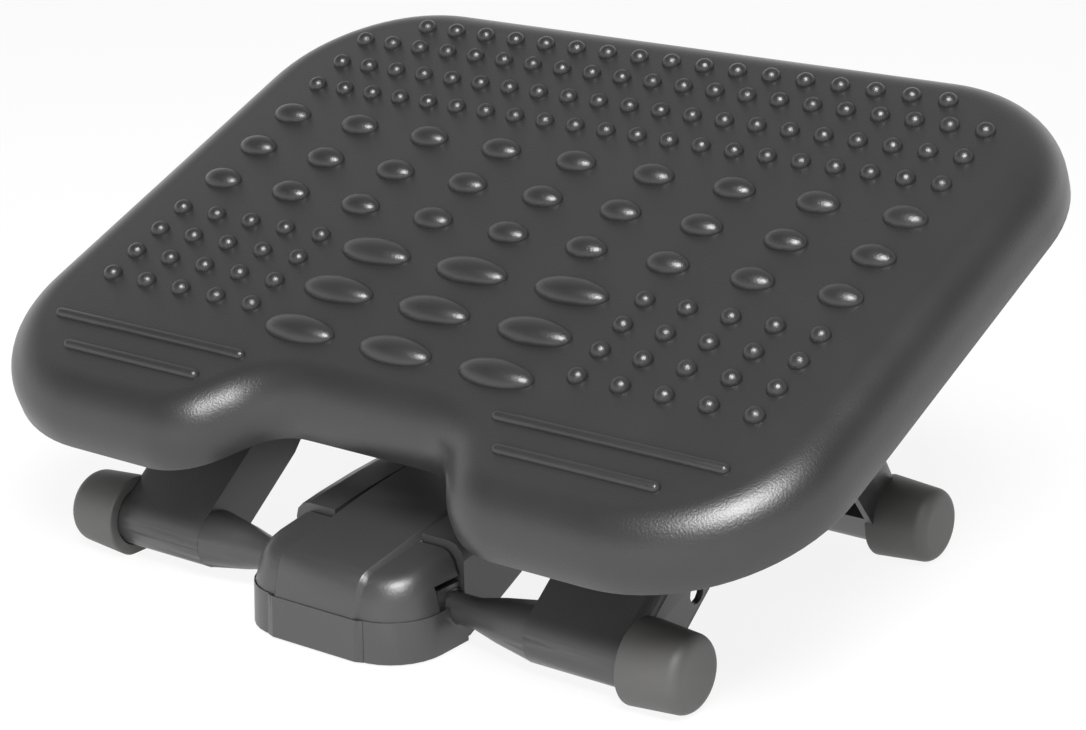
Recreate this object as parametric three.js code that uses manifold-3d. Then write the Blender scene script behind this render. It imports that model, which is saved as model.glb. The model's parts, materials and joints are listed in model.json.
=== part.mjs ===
// A tilting under-desk footrest, in millimetres, with +Z up, +Y to the rear and +X to the right.
// A moulded platform tilts on a shaft carried by two pairs of legs. The front legs turn on the nose
// of a centre beam, and the rear legs on a slider inside it, so that sliding changes the height.
// A sprung foot pedal in the nose lifts a brake shoe off the slider. The origin is on the floor,
// under the middle of the whole object.

import * as THREE from 'three';
import { mergeVertices } from 'three/addons/utils/BufferGeometryUtils.js';
import Module from 'manifold-3d';

const wasm = await Module();
wasm.setup();

// Fits and moulding walls
const fitGap = 0.3;
const pivotGap = 1.2;
const cutOverrun = 1;
const weldTolerance = 0.0001;

// Where the three shafts lie, at the photographed height and tilt
const pivotHeight = 114.3;
const frontAxleReach = 125.1;
const rearAxleReach = 76.2;
const restTiltDegrees = 22.46;
const sliderTravel = 30;

// Platform
const platformWidth = 457;
const platformDepth = 341;
const deckRise = 46;
const frontCornerRadius = 81.2;
const rearCornerRadius = 82.3;
const rimRollWidth = 22.5;
const rimRollDrop = 22.75;
const skirtDepth = 29.6;
const deckWall = 3;
const notchDepth = 40;
const notchFloorWidth = 68;
const notchShoulderRadius = 40;
const notchCornerRadius = 30;
const notchWallDegrees = 53.5;

// Bumps on the deck, whose columns are spaced in shares of the platform's width
const studRadius = 4.8;
const studHeight = 4.5;
const studColumns = 21;
const studPitchShare = 0.03996;
const studRowPitch = 21.1;
const studRows = 3;
const studRearInset = 47;
const endStudColumns = 17;
const endStudPitchShare = 0.04214;
const endStudInset = 29.2;
const ovalHalfLength = 11;
const ovalHalfWidth = 7;
const ovalHeight = 5.4;
const ovalColumns = 9;
const ovalPitchShare = 0.09777;
const ovalRows = 3;
const ovalRowPitch = 28.9;
const ovalMiddleRow = 25.9;
const padHalfLength = 20;
const padHalfWidth = 8.5;
const padHeight = 6.3;
const padColumns = 3;
const padPitchShare = 0.12385;
const padRows = 3;
const padRowPitch = 30;
const padMiddleRow = -63.1;
const sideStudColumns = 5;
const sideStudPitchShare = 0.04919;
const sideStudRows = 4;
const sideStudRowPitch = 18.2;
const sideStudMiddleRow = -56.3;
const sideStudMiddleShare = 0.30372;
const gripRibHalfWidth = 2;
const gripRibHeight = 2.2;
const longRibInset = 54;
const longRibStart = 75;
const longRibSideInset = 37;
const shortRibInset = 35.5;
const shortRibStart = 86;
const shortRibSideInset = 59;

// Stiffening under the deck
const stiffenerDepth = 8;
const stiffenerWidth = 2.4;
const stiffenerWidthShares = [-0.333, -0.214, -0.096, 0.096, 0.214, 0.333];
const stiffenerPlacesY = [-76, -34, 34, 76, 120];

// Cross bars, with their rubber caps
const barRadius = 13.8;
const barEnd = 150;
const barTaperStart = 95;
const neckPlace = 74;
const neckRadius = 10.2;
const journalRadius = 7;
const journalGap = 9.4;
const stubRadius = 11;
const stubEnd = 170;
const capRadius = 18.6;
const capStart = 146.4;
const capEnd = 176.3;
const capFillet = 6;
const restFlat = 0.5;
const axleRadius = 5;
const axleEnd = 138;

// Legs
const legRadius = 13.9;
const legWall = 3.2;
const legInner = 89;
const frontLegInner = 95;
const legOuter = 151;
const legOuterRound = 8;
const rearFlangeDepth = 5.9;
const frontLegNarrowing = 60;
const rearLegNarrowing = 42;
const eyeReach = 30;
const rearLegBulge = 4.4;
const flangeHoleRadius = 5;
const flangeHolePlace = 40;
const flangeHoleDrop = 7;

// Tilt shaft and what is on it
const shaftRadius = 6;
const washerThickness = 2.4;
const washerRadius = 11;
const shaftNutRadius = 9.5;
const shaftNutLength = 5.4;
const shaftEndMargin = 3;
const bushWall = 1.3;

// Tilt brackets
const bracketLength = 30;
const bracketBossRadius = 12;
const bracketWeb = 4;
const bracketFlange = 3.4;
const bracketHalfDepth = 27;
const bracketScrewSpread = 20;
const screwBossRadius = 4.6;

// Screws
const screwHeadRadius = 3.4;
const screwHeadHeight = 2.2;
const screwSink = 1.6;
const screwRadius = 1.6;
const screwLength = 11;

// Centre beam
const beamHalfWidth = 48.8;
const beamWall = 3;
const beamShoulder = 8;
const beamFrontSetback = 5;
const beamRear = 138;
const beamFloorGap = 2;
const beamFrontTop = 44.5;
const beamCrownPlace = -20;
const beamCrownTop = 65;
const beamRearTop = 38;
const archStartSetback = 8.1;
const archBendRun = 40;
const archBendRise = 18.1;
const archCrownPlace = -40;
const archCrown = 36.8;
const archEnd = 52;
const endCapThickness = 3;
const endCapPlug = 4;
const slideBaseThickness = 2.8;
const slideBaseFront = 50;
const beamBossRadius = 5;

// Nose tray
const noseOverhang = 1.8;
const noseReach = 40.3;
const noseCorner = 26;
const noseFloorGap = 1.2;
const noseWall = 2.6;
const trayLip = 1;
const trayLipDepth = 11;
const noseSeam = 21;
const nosePadProud = 1.5;
const trayRearSetback = 34;
const bushLength = 9;
const bushInset = 11.3;
const saddleHalfDepth = 11;
const saddleCoverTop = 28.7;
const trayScrewPlaceX = 33;
const trayScrewSetback = 27.1;

// Foot pedal
const pedalPivotPlace = -40;
const pedalPivotHeight = 42.6;
const pedalHalfWidth = 25;
const pedalProud = 1.8;
const pedalWall = 2.6;
const pedalNoseLean = 5;
const pedalLobeTop = 36.4;
const pedalLobeSlope = 0.155;
const pedalLobeRound = 11;
const pedalStripFrontTop = 38.8;
const pedalStripRoll = 7;
const pedalStripBreakReach = 3.4;
const pedalStripBreakTop = 44.5;
const pedalStripDepth = 6;
const pedalStripBevel = 2.5;
const pedalSkirtDepth = 6;
const pedalRearGap = 1.9;
const pedalEndPlace = -36;
const pedalRibWidth = 3;
const pedalRibOuter = 15;
const pedalRibFrontBottom = 28;
const pedalBossRadius = 4.8;
const pedalTailEnd = 16;
const pedalTailHalfWidth = 8;
const pedalTailTop = 44.5;
const pedalTailDepth = 4.5;
const pedalArchTop = 31.8;
const pedalArchMargin = 2;
const pinRadius = 2.5;
const pinMargin = 1.6;
const pinCheekWidth = 3;
const pinCheekGap = 1.4;
const pinCheekRear = 12;
const cheekBite = 1.8;

// Brake shoe and return spring
const shoeFront = 2;
const shoeLip = 1.5;
const shoeScrewPlace = 9;
const shoeScrewLength = 6.4;
const springReach = 22.9;
const springRadius = 6.4;
const springWire = 0.9;
const springTurns = 6;
const springSeatRadius = 4.6;
const springSeatHeight = 5;

// Height slider
const sliderSideGap = 13.5;
const sliderHalfDepth = 15;
const sliderTop = 32;
const sliderWingTop = 9;
const sliderBarHalfWidth = 10;
const sliderBarFront = -30;
const sliderBarBottom = 27.6;
const sliderBarTop = 34;
const rearJournalStart = 18;
const stripTop = 36;
const stripHalfWidth = 8.5;
const stripRear = 38;
const stripRivetPlaces = [24, 33];
const rivetRadius = 1.6;
const rivetHeadHeight = 0.9;
const rivetHeadRadius = 2.8;
const rivetMargin = 2;

// How finely curves are divided
const roundSides = 20;
const pinSides = 12;
const screwSides = 8;
const studSides = 7;
const ovalSides = 10;
const cornerSteps = 7;
const notchSteps = 4;
const rollSteps = 5;
const innerRollSteps = 3;
const curveSteps = 4;
const legCurveSteps = 6;
const legRoundSteps = 3;
const shoulderSteps = 3;
const crownSteps = 10;
const noseCurveSteps = 3;
const stripRollSteps = 3;
const stripTopSteps = 6;
const capSteps = 2;
const springStepsPerTurn = 8;
const springWireSteps = 3;

// Worked out from the sizes above
const axleHeight = capRadius - restFlat;
const legRise = pivotHeight - axleHeight;
const frontLegLength = Math.hypot(frontAxleReach, legRise);
const rearLegLength = Math.hypot(rearAxleReach, legRise);
const frontLegAngle = Math.atan2(legRise, frontAxleReach);
const rearLegAngle = Math.PI - Math.atan2(legRise, rearAxleReach);
const restTilt = THREE.MathUtils.degToRad(restTiltDegrees);
const frontEyeInner = legOuter - (legOuter - legInner - washerThickness - 2 * fitGap) / 2;
const rearEyeOuter = frontEyeInner - washerThickness - 2 * fitGap;
const bracketOuter = legInner - washerThickness - 2 * fitGap;
const bracketInner = bracketOuter - bracketLength;
const shaftEnd = legOuter + shaftEndMargin;
const beamFront = -frontAxleReach + beamFrontSetback;
const archStart = -frontAxleReach + archStartSetback;
const beamInnerHalfWidth = beamHalfWidth - beamWall;
const insideBeam = beamInnerHalfWidth - fitGap;
const bushRadius = journalRadius + fitGap + bushWall;
const bushBore = bushRadius + fitGap;
const bushStart = beamHalfWidth - bushInset;
const noseHalfWidth = beamHalfWidth + noseOverhang;
const noseFront = -frontAxleReach - noseReach;
const nosePadHalfWidth = pedalHalfWidth + fitGap + trayLip;
const nosePadFace = nosePadHalfWidth - pedalStripBevel;
const trayRear = -frontAxleReach + trayRearSetback;
const trayScrewPlaceY = -frontAxleReach + trayScrewSetback;
const sliderHalfWidth = insideBeam - sliderSideGap;
const journalStart = noseHalfWidth + journalGap;
const pedalStripBreakPlace = -frontAxleReach - pedalStripBreakReach;
const springPlace = -frontAxleReach - springReach;
const pinEnd = pedalRibOuter + pinCheekGap + pinCheekWidth + pinMargin;

// Materials
function finish(name, color, roughness, metalness) {
  const material = new THREE.MeshStandardMaterial({ color, roughness, metalness });
  material.name = name;
  return material;
}

const deckPlastic = finish('deck_plastic', 0x414142, 0.5, 0);
const framePlastic = finish('frame_plastic', 0x39393a, 0.55, 0);
const capRubber = finish('cap_rubber', 0x454442, 0.85, 0);
const bearingPlastic = finish('bearing_plastic', 0x2e2f31, 0.4, 0);
const steel = finish('steel', 0x9a9da1, 0.35, 1);

// Solids and booleans
function solidOf(geometry) {
  const bare = geometry.clone();
  bare.deleteAttribute('normal');
  bare.deleteAttribute('uv');
  const merged = mergeVertices(bare, weldTolerance);
  const points = merged.getAttribute('position');
  const corners = Array.from(merged.index.array);
  const triangles = [];
  let volume = 0;
  for (let i = 0; i < corners.length; i += 3) {
    const [a, b, c] = corners.slice(i, i + 3);
    if (a === b || b === c || c === a) continue;
    triangles.push([a, b, c]);
    const [p, q, r] = [a, b, c].map((k) => new THREE.Vector3().fromBufferAttribute(points, k));
    volume += p.dot(q.cross(r));
  }
  const outward = volume > 0 ? triangles : triangles.map(([a, b, c]) => [a, c, b]);
  const mesh = new wasm.Mesh({
    numProp: 3,
    vertProperties: Float32Array.from(points.array),
    triVerts: Uint32Array.from(outward.flat()),
  });
  return new wasm.Manifold(mesh);
}

function geometryOf(solid) {
  const mesh = solid.getMesh();
  const geometry = new THREE.BufferGeometry();
  geometry.setAttribute('position', new THREE.BufferAttribute(mesh.vertProperties, 3));
  geometry.setIndex(new THREE.BufferAttribute(mesh.triVerts, 1));
  geometry.computeVertexNormals();
  return geometry;
}

function join(...solids) {
  return solids.reduce((whole, piece) => whole.add(piece));
}

function cut(body, ...tools) {
  return tools.reduce((rest, tool) => rest.subtract(tool), body);
}

// Basic forms
const yAxis = new THREE.Vector3(0, 1, 0);
const zAxis = new THREE.Vector3(0, 0, 1);
const xAxis = new THREE.Vector3(1, 0, 0);
const sideViewToX = new THREE.Matrix4().makeBasis(yAxis, zAxis, xAxis);

function block(x0, x1, y0, y1, z0, z1) {
  const geometry = new THREE.BoxGeometry(x1 - x0, y1 - y0, z1 - z0);
  geometry.translate((x0 + x1) / 2, (y0 + y1) / 2, (z0 + z1) / 2);
  return solidOf(geometry);
}

// A side view, drawn as (Y, Z), extruded along X, with its end edges rounded
function extrudeAcross(shape, x0, x1, round = 0, roundSteps = 0, curveSegments = curveSteps) {
  const geometry = new THREE.ExtrudeGeometry(shape, {
    depth: x1 - x0 - 2 * round,
    bevelEnabled: round > 0,
    bevelThickness: round,
    bevelSize: round,
    bevelOffset: -round,
    bevelSegments: roundSteps,
    curveSegments,
  });
  geometry.translate(0, 0, x0 + round);
  geometry.applyMatrix4(sideViewToX);
  return solidOf(geometry);
}

// A plan view, drawn as (X, Y), extruded upwards
function extrudeUp(shape, z0, z1, curveSegments = curveSteps) {
  const options = { depth: z1 - z0, bevelEnabled: false, curveSegments };
  const geometry = new THREE.ExtrudeGeometry(shape, options);
  geometry.translate(0, 0, z0);
  return solidOf(geometry);
}

// A profile of (place, radius) points turned about the X axis
function turnAcross(profile, sides, y = 0, z = 0) {
  const points = profile.map(([x, radius]) => new THREE.Vector2(radius, x));
  const geometry = new THREE.LatheGeometry(points, sides);
  geometry.rotateZ(-Math.PI / 2);
  geometry.translate(0, y, z);
  return solidOf(geometry);
}

// A profile of (height, radius) points turned about an upright axis
function turnUp(profile, sides, x = 0, y = 0, scaleX = 1, scaleY = 1) {
  const points = profile.map(([z, radius]) => new THREE.Vector2(radius, z));
  const geometry = new THREE.LatheGeometry(points, sides);
  geometry.rotateX(Math.PI / 2);
  geometry.scale(scaleX, scaleY, 1);
  geometry.translate(x, y, 0);
  return solidOf(geometry);
}

function rod(x0, x1, radius, sides, y = 0, z = 0) {
  return turnAcross([[x0, 0], [x0, radius], [x1, radius], [x1, 0]], sides, y, z);
}

function ring(x0, x1, bore, radius, sides, y = 0, z = 0) {
  const profile = [[x0, bore], [x0, radius], [x1, radius], [x1, bore], [x0, bore]];
  return turnAcross(profile, sides, y, z);
}

function polygon(points) {
  return new THREE.Shape(points.map(([u, v]) => new THREE.Vector2(u, v)));
}

// Rings of equal count, from the top down, skinned and capped
function loft(rings) {
  const count = rings[0].length;
  const index = [];
  for (let level = 0; level + 1 < rings.length; level += 1) {
    for (let i = 0; i < count; i += 1) {
      const next = (i + 1) % count;
      const [a, b] = [level * count + i, level * count + next];
      index.push(a, a + count, b + count, a, b + count, b);
    }
  }
  const top = THREE.ShapeUtils.triangulateShape(rings[0], []);
  const last = (rings.length - 1) * count;
  for (const [a, b, c] of top) {
    index.push(a, b, c);
    index.push(last + a, last + c, last + b);
  }
  const geometry = new THREE.BufferGeometry();
  geometry.setFromPoints(rings.flat());
  geometry.setIndex(index);
  return solidOf(geometry);
}

// The object's scene graph
const footrest = new THREE.Group();
const beamGroup = new THREE.Group();
const frontLegGroup = new THREE.Group();
const rearLegGroup = new THREE.Group();
const platformGroup = new THREE.Group();
footrest.add(beamGroup, frontLegGroup, rearLegGroup, platformGroup);
frontLegGroup.position.set(0, -frontAxleReach, axleHeight);
frontLegGroup.rotation.x = frontLegAngle;
rearLegGroup.position.set(0, rearAxleReach, axleHeight);
rearLegGroup.rotation.x = rearLegAngle;
platformGroup.position.set(0, 0, pivotHeight);
platformGroup.rotation.x = restTilt;

function addPiece(group, name, solid, material) {
  const mesh = new THREE.Mesh(geometryOf(solid), material);
  mesh.name = name;
  group.add(mesh);
  return mesh;
}

// A right-hand piece and its mirror image
function addPair(group, name, solid, material) {
  addPiece(group, `${name}_right`, solid, material);
  const mirrored = geometryOf(solid);
  mirrored.scale(-1, 1, 1);
  addPiece(group, `${name}_left`, solidOf(mirrored), material);
}

// Platform

// The plan outline, moved inwards by an inset, as arcs about fixed centres
function platformOutline(inset) {
  const [halfWidth, halfDepth] = [platformWidth / 2, platformDepth / 2];
  const wallAngle = THREE.MathUtils.degToRad(notchWallDegrees);
  const radii = notchShoulderRadius + notchCornerRadius;
  const wallLength = (notchDepth - radii * (1 - Math.cos(wallAngle))) / Math.sin(wallAngle);
  const cornerX = notchFloorWidth / 2;
  const shoulderX = cornerX + radii * Math.sin(wallAngle) + wallLength * Math.cos(wallAngle);
  const shoulderY = -halfDepth + notchShoulderRadius;
  const cornerY = -halfDepth + notchDepth - notchCornerRadius;
  const points = [];
  const arc = (x, y, radius, from, to, steps) => {
    for (let i = 0; i <= steps; i += 1) {
      const angle = from + ((to - from) * i) / steps;
      points.push(new THREE.Vector2(x + radius * Math.cos(angle), y + radius * Math.sin(angle)));
    }
  };
  const quarter = Math.PI / 2;
  const frontX = halfWidth - frontCornerRadius;
  const frontY = -halfDepth + frontCornerRadius;
  const rearX = halfWidth - rearCornerRadius;
  const rearY = halfDepth - rearCornerRadius;
  const shoulder = notchShoulderRadius - inset;
  const corner = notchCornerRadius + inset;
  arc(-frontX, frontY, frontCornerRadius - inset, 2 * quarter, 3 * quarter, cornerSteps);
  arc(-shoulderX, shoulderY, shoulder, 3 * quarter, 3 * quarter + wallAngle, notchSteps);
  arc(-cornerX, cornerY, corner, quarter + wallAngle, quarter, notchSteps);
  arc(cornerX, cornerY, corner, quarter, quarter - wallAngle, notchSteps);
  arc(shoulderX, shoulderY, shoulder, 3 * quarter - wallAngle, 3 * quarter, notchSteps);
  arc(frontX, frontY, frontCornerRadius - inset, 3 * quarter, 4 * quarter, cornerSteps);
  arc(rearX, rearY, rearCornerRadius - inset, 0, quarter, cornerSteps);
  arc(-rearX, rearY, rearCornerRadius - inset, quarter, 2 * quarter, cornerSteps);
  return points;
}

function outlineAt(inset, height) {
  return platformOutline(inset).map(({ x, y }) => new THREE.Vector3(x, y, height));
}

// A body with the deck's rolled edge, drawn in by a wall thickness
function rolledBody(wall, steps, bottom) {
  const rings = [];
  for (let i = steps; i >= 0; i -= 1) {
    const angle = (Math.PI / 2) * (i / steps);
    const inset = wall + (rimRollWidth - wall) * (1 - Math.cos(angle));
    const drop = wall + (rimRollDrop - wall) * (1 - Math.sin(angle));
    rings.push(outlineAt(inset, deckRise - drop));
  }
  rings.push(outlineAt(wall, bottom));
  return loft(rings);
}

function dome(x, y, halfLength, halfWidth, height, sides) {
  const [top, root] = [deckRise, deckRise - deckWall / 2];
  const shoulderShares = [[0.82, 0.66]];
  const profile = [[top + height, 0]];
  for (const [radiusShare, heightShare] of shoulderShares) {
    profile.push([top + height * heightShare, radiusShare]);
  }
  profile.push([top, 1], [root, 1], [root, 0]);
  return turnUp(profile, sides, x, y, halfLength, halfWidth);
}

function domeGrid(columns, columnPitch, rows, rowPitch, middleX, middleY, form) {
  const domes = [];
  for (let row = 0; row < rows; row += 1) {
    for (let column = 0; column < columns; column += 1) {
      const x = middleX + (column - (columns - 1) / 2) * columnPitch;
      const y = middleY + (row - (rows - 1) / 2) * rowPitch;
      domes.push(dome(x, y, ...form));
    }
  }
  return domes;
}

function gripRib(side, start, end, inset) {
  const y = -platformDepth / 2 + inset;
  const [top, root] = [deckRise, deckRise - deckWall / 2];
  const profile = [[start, 0], [start + gripRibHalfWidth, 1], [end - gripRibHalfWidth, 1], [end, 0]];
  const geometry = new THREE.LatheGeometry(
    profile.map(([x, radius]) => new THREE.Vector2(radius, x)),
    studSides,
  );
  geometry.rotateZ(-Math.PI / 2);
  geometry.scale(side, gripRibHalfWidth, gripRibHeight);
  geometry.translate(0, y, top);
  const [x0, x1] = side > 0 ? [start, end] : [-end, -start];
  const aboveRoot = block(x0, x1, y - gripRibHalfWidth, y + gripRibHalfWidth, root, top + gripRibHeight);
  return solidOf(geometry).intersect(aboveRoot);
}

function bumps() {
  const halfDepth = platformDepth / 2;
  const stud = [studRadius, studRadius, studHeight, studSides];
  const oval = [ovalHalfLength, ovalHalfWidth, ovalHeight, ovalSides];
  const pad = [padHalfLength, padHalfWidth, padHeight, ovalSides];
  const studMiddle = halfDepth - studRearInset - studRowPitch;
  const sideStudMiddle = platformWidth * sideStudMiddleShare;
  const grid = (columns, pitchShare, rows, rowPitch, x, y, form) => domeGrid(
    columns, platformWidth * pitchShare, rows, rowPitch, x, y, form,
  );
  const longRibEnd = platformWidth / 2 - longRibSideInset;
  const shortRibEnd = platformWidth / 2 - shortRibSideInset;
  return [
    ...grid(endStudColumns, endStudPitchShare, 1, 0, 0, halfDepth - endStudInset, stud),
    ...grid(studColumns, studPitchShare, studRows, studRowPitch, 0, studMiddle, stud),
    ...grid(ovalColumns, ovalPitchShare, ovalRows, ovalRowPitch, 0, ovalMiddleRow, oval),
    ...grid(padColumns, padPitchShare, padRows, padRowPitch, 0, padMiddleRow, pad),
    ...[-sideStudMiddle, sideStudMiddle].flatMap((x) => grid(
      sideStudColumns, sideStudPitchShare, sideStudRows, sideStudRowPitch, x, sideStudMiddleRow, stud,
    )),
    ...[-1, 1].map((side) => gripRib(side, longRibStart, longRibEnd, longRibInset)),
    ...[-1, 1].map((side) => gripRib(side, shortRibStart, shortRibEnd, shortRibInset)),
  ];
}

const stiffenerBottom = deckRise - deckWall - stiffenerDepth;
const bracketTop = stiffenerBottom - fitGap;
const bracketMiddle = (bracketInner + bracketOuter) / 2;

function bracketScrewPlaces() {
  return [-bracketScrewSpread, bracketScrewSpread].map((y) => [bracketMiddle, y]);
}

function platform() {
  const skirtBottom = deckRise - skirtDepth;
  const outside = rolledBody(0, rollSteps, skirtBottom);
  const inside = rolledBody(deckWall, innerRollSteps, skirtBottom - cutOverrun);
  const ribTop = deckRise - deckWall / 2;
  const [halfWidth, halfDepth] = [platformWidth / 2, platformDepth / 2];
  const half = stiffenerWidth / 2;
  const lengthwise = stiffenerWidthShares.map((share) => platformWidth * share).map(
    (x) => block(x - half, x + half, -halfDepth, halfDepth, stiffenerBottom, ribTop),
  );
  const crosswise = stiffenerPlacesY.map(
    (y) => block(-halfWidth, halfWidth, y - half, y + half, stiffenerBottom, ribTop),
  );
  const bosses = [-1, 1].flatMap((side) => bracketScrewPlaces().map(([x, y]) => turnUp(
    [[ribTop, 0], [ribTop, screwBossRadius], [stiffenerBottom, screwBossRadius], [stiffenerBottom, 0]],
    pinSides, side * x, y,
  )));
  const pilotTop = bracketTop - bracketFlange + screwLength + fitGap;
  const pilotRadius = screwRadius + fitGap;
  const pilots = [-1, 1].flatMap((side) => bracketScrewPlaces().map(([x, y]) => turnUp(
    [[pilotTop, 0], [pilotTop, pilotRadius], [bracketTop, pilotRadius], [bracketTop, 0]],
    screwSides, side * x, y,
  )));
  const ribs = join(...lengthwise, ...crosswise, ...bosses).intersect(outside);
  const shell = join(cut(outside, inside), ribs, ...bumps());
  return cut(shell, ...pilots);
}

// A bracket that hangs from the deck and carries a bush on the tilt shaft
function tiltBracket() {
  const flangeBottom = bracketTop - bracketFlange;
  const web = new THREE.Shape();
  const [boss, half] = [bracketBossRadius, bracketHalfDepth];
  web.moveTo(half, flangeBottom + bracketFlange / 2);
  web.lineTo(-half, flangeBottom + bracketFlange / 2);
  web.lineTo(-boss, 0);
  web.absarc(0, 0, boss, Math.PI, 2 * Math.PI, false);
  const webs = [
    extrudeAcross(web, bracketInner, bracketInner + bracketWeb),
    extrudeAcross(web, bracketOuter - bracketWeb, bracketOuter),
  ];
  const flange = block(bracketInner, bracketOuter, -half, half, flangeBottom, bracketTop);
  const barrel = rod(bracketInner, bracketOuter, boss, roundSides);
  const bore = rod(
    bracketInner - cutOverrun, bracketOuter + cutOverrun,
    shaftRadius + bushWall + 2 * fitGap, pinSides,
  );
  const holes = bracketScrewPlaces().map(([x, y]) => turnUp(
    [
      [flangeBottom - cutOverrun, 0],
      [flangeBottom - cutOverrun, screwRadius + fitGap],
      [bracketTop + cutOverrun, screwRadius + fitGap],
      [bracketTop + cutOverrun, 0],
    ],
    screwSides, x, y,
  ));
  return cut(join(flange, barrel, ...webs), bore, ...holes);
}

// A pan-head screw driven upwards, with its head under the given height
function screw(x, y, seat, length = screwLength) {
  const [head, low] = [screwHeadRadius, seat - fitGap];
  const profile = [
    [low + length, 0], [low + length, screwRadius], [low, screwRadius], [low, head],
    [low - screwHeadHeight / 2, head], [low - screwHeadHeight, head / 2], [low - screwHeadHeight, 0],
  ];
  return turnUp(profile, screwSides, x, y);
}

addPiece(platformGroup, 'platform', platform(), deckPlastic);
addPair(platformGroup, 'tilt_bracket', tiltBracket(), framePlastic);
addPair(
  platformGroup, 'tilt_bush',
  ring(bracketInner, bracketOuter, shaftRadius + fitGap, shaftRadius + fitGap + bushWall, pinSides),
  bearingPlastic,
);
bracketScrewPlaces().forEach(([x, y], i) => {
  const place = ['front', 'rear'][i];
  addPair(platformGroup, `bracket_screw_${place}`, screw(x, y, bracketTop - bracketFlange), steel);
});

// Legs

// The outline of a leg from the side: round at the bar and at the eye, with an optional back bulge
function legOutline(length, radius, bulge) {
  const quarter = Math.PI / 2;
  const shape = new THREE.Shape();
  shape.absarc(length, 0, radius, -quarter, quarter, false);
  shape.absarc(0, 0, radius, quarter, 3 * quarter, false);
  if (bulge > 0) shape.quadraticCurveTo(length / 3, -radius - 2 * bulge, length, -radius);
  return shape;
}

// The plan of a leg, which narrows to its half of the space at the shaft
function legPlan(length, narrowing, inner, outer, eyeInner, eyeOuter) {
  const [start, end] = [-legRadius - cutOverrun, length + legRadius + cutOverrun];
  const narrow = length - eyeReach;
  const bend = (narrow - narrowing) / 3;
  const shape = new THREE.Shape();
  shape.moveTo(outer, start);
  shape.lineTo(outer, narrowing);
  shape.bezierCurveTo(outer, narrowing + bend, eyeOuter, narrow - bend, eyeOuter, narrow);
  shape.lineTo(eyeOuter, end);
  shape.lineTo(eyeInner, end);
  shape.lineTo(eyeInner, narrow);
  shape.bezierCurveTo(eyeInner, narrow - bend, inner, narrowing + bend, inner, narrowing);
  shape.lineTo(inner, start);
  return shape;
}

// Half of a cross bar with its channel-shaped leg, whose outer edge is round on the closed side.
// The open side is -1 below or +1 above.
function legMoulding(length, narrowing, inner, eyeInner, eyeOuter, openSide, flangeDepth, bulge,
  journalEnd, bore) {
  const reach = legRadius + 2 * bulge + cutOverrun;
  const plan = (wall) => extrudeUp(
    legPlan(length, narrowing, inner + wall, legOuter - wall, eyeInner + wall, eyeOuter - wall),
    -reach, reach, legCurveSteps,
  );
  const outline = legOutline(length, legRadius, bulge);
  const [from, to] = [barRadius + legWall, length - legRadius - fitGap];
  const [open, edge] = [openSide * reach, openSide * flangeDepth];
  const rounded = extrudeAcross(
    outline, inner - legOuterRound, legOuter, legOuterRound, legRoundSteps, legCurveSteps,
  );
  const square = extrudeAcross(outline, inner, legOuter, 0, 0, legCurveSteps).intersect(block(
    inner, legOuter, -reach, length + reach, Math.min(0, open), Math.max(0, open),
  ));
  const body = join(rounded, square).intersect(plan(0));
  const hollowSide = extrudeAcross(
    legOutline(length, legRadius - legWall, bulge), inner - legOuterRound, legOuter - legWall,
    legOuterRound - legWall, legRoundSteps, legCurveSteps,
  );
  const openBox = block(inner, legOuter, from, to, Math.min(0, open), Math.max(0, open));
  const between = block(inner, legOuter, from, to, -reach, reach);
  const hollow = join(hollowSide, openBox).intersect(between).intersect(plan(legWall));
  const relief = block(
    inner - cutOverrun, legOuter - legWall, from, to, Math.min(edge, open), Math.max(edge, open),
  ).intersect(plan(0));
  const capRoom = rod(capStart - fitGap, legOuter + cutOverrun, capRadius + fitGap, roundSides);
  const bar = turnAcross([
    [journalEnd, 0], [journalEnd, journalRadius], [journalStart, journalRadius],
    [neckPlace, neckRadius], [barTaperStart, barRadius], [barEnd, barRadius],
    [barEnd, stubRadius], [stubEnd, stubRadius], [stubEnd, 0],
  ], roundSides);
  const axleBore = rod(journalEnd - cutOverrun, axleEnd + fitGap, axleRadius + fitGap, pinSides);
  const eyeBore = rod(eyeInner - cutOverrun, eyeOuter + cutOverrun, bore, pinSides, length, 0);
  return cut(join(cut(body, hollow, relief, capRoom), bar), axleBore, eyeBore);
}

const flangeHole = rod(
  legOuter - 2 * legWall, legOuter + cutOverrun, flangeHoleRadius, pinSides,
  flangeHolePlace, -flangeHoleDrop,
);
const frontLeg = cut(
  legMoulding(
    frontLegLength, frontLegNarrowing, frontLegInner, frontEyeInner, legOuter, -1, legRadius, 0,
    bushStart - cutOverrun, shaftRadius + fitGap,
  ),
  flangeHole,
);
const rearLeg = legMoulding(
  rearLegLength, rearLegNarrowing, legInner, legInner, rearEyeOuter, 1, rearFlangeDepth,
  rearLegBulge, rearJournalStart, shaftRadius + pivotGap,
);
addPair(frontLegGroup, 'front_leg', frontLeg, framePlastic);
addPair(rearLegGroup, 'rear_leg', rearLeg, framePlastic);

const axle = rod(-axleEnd, axleEnd, axleRadius, pinSides);
addPiece(frontLegGroup, 'front_axle', axle, steel);
addPiece(rearLegGroup, 'rear_axle', axle, steel);

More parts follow.
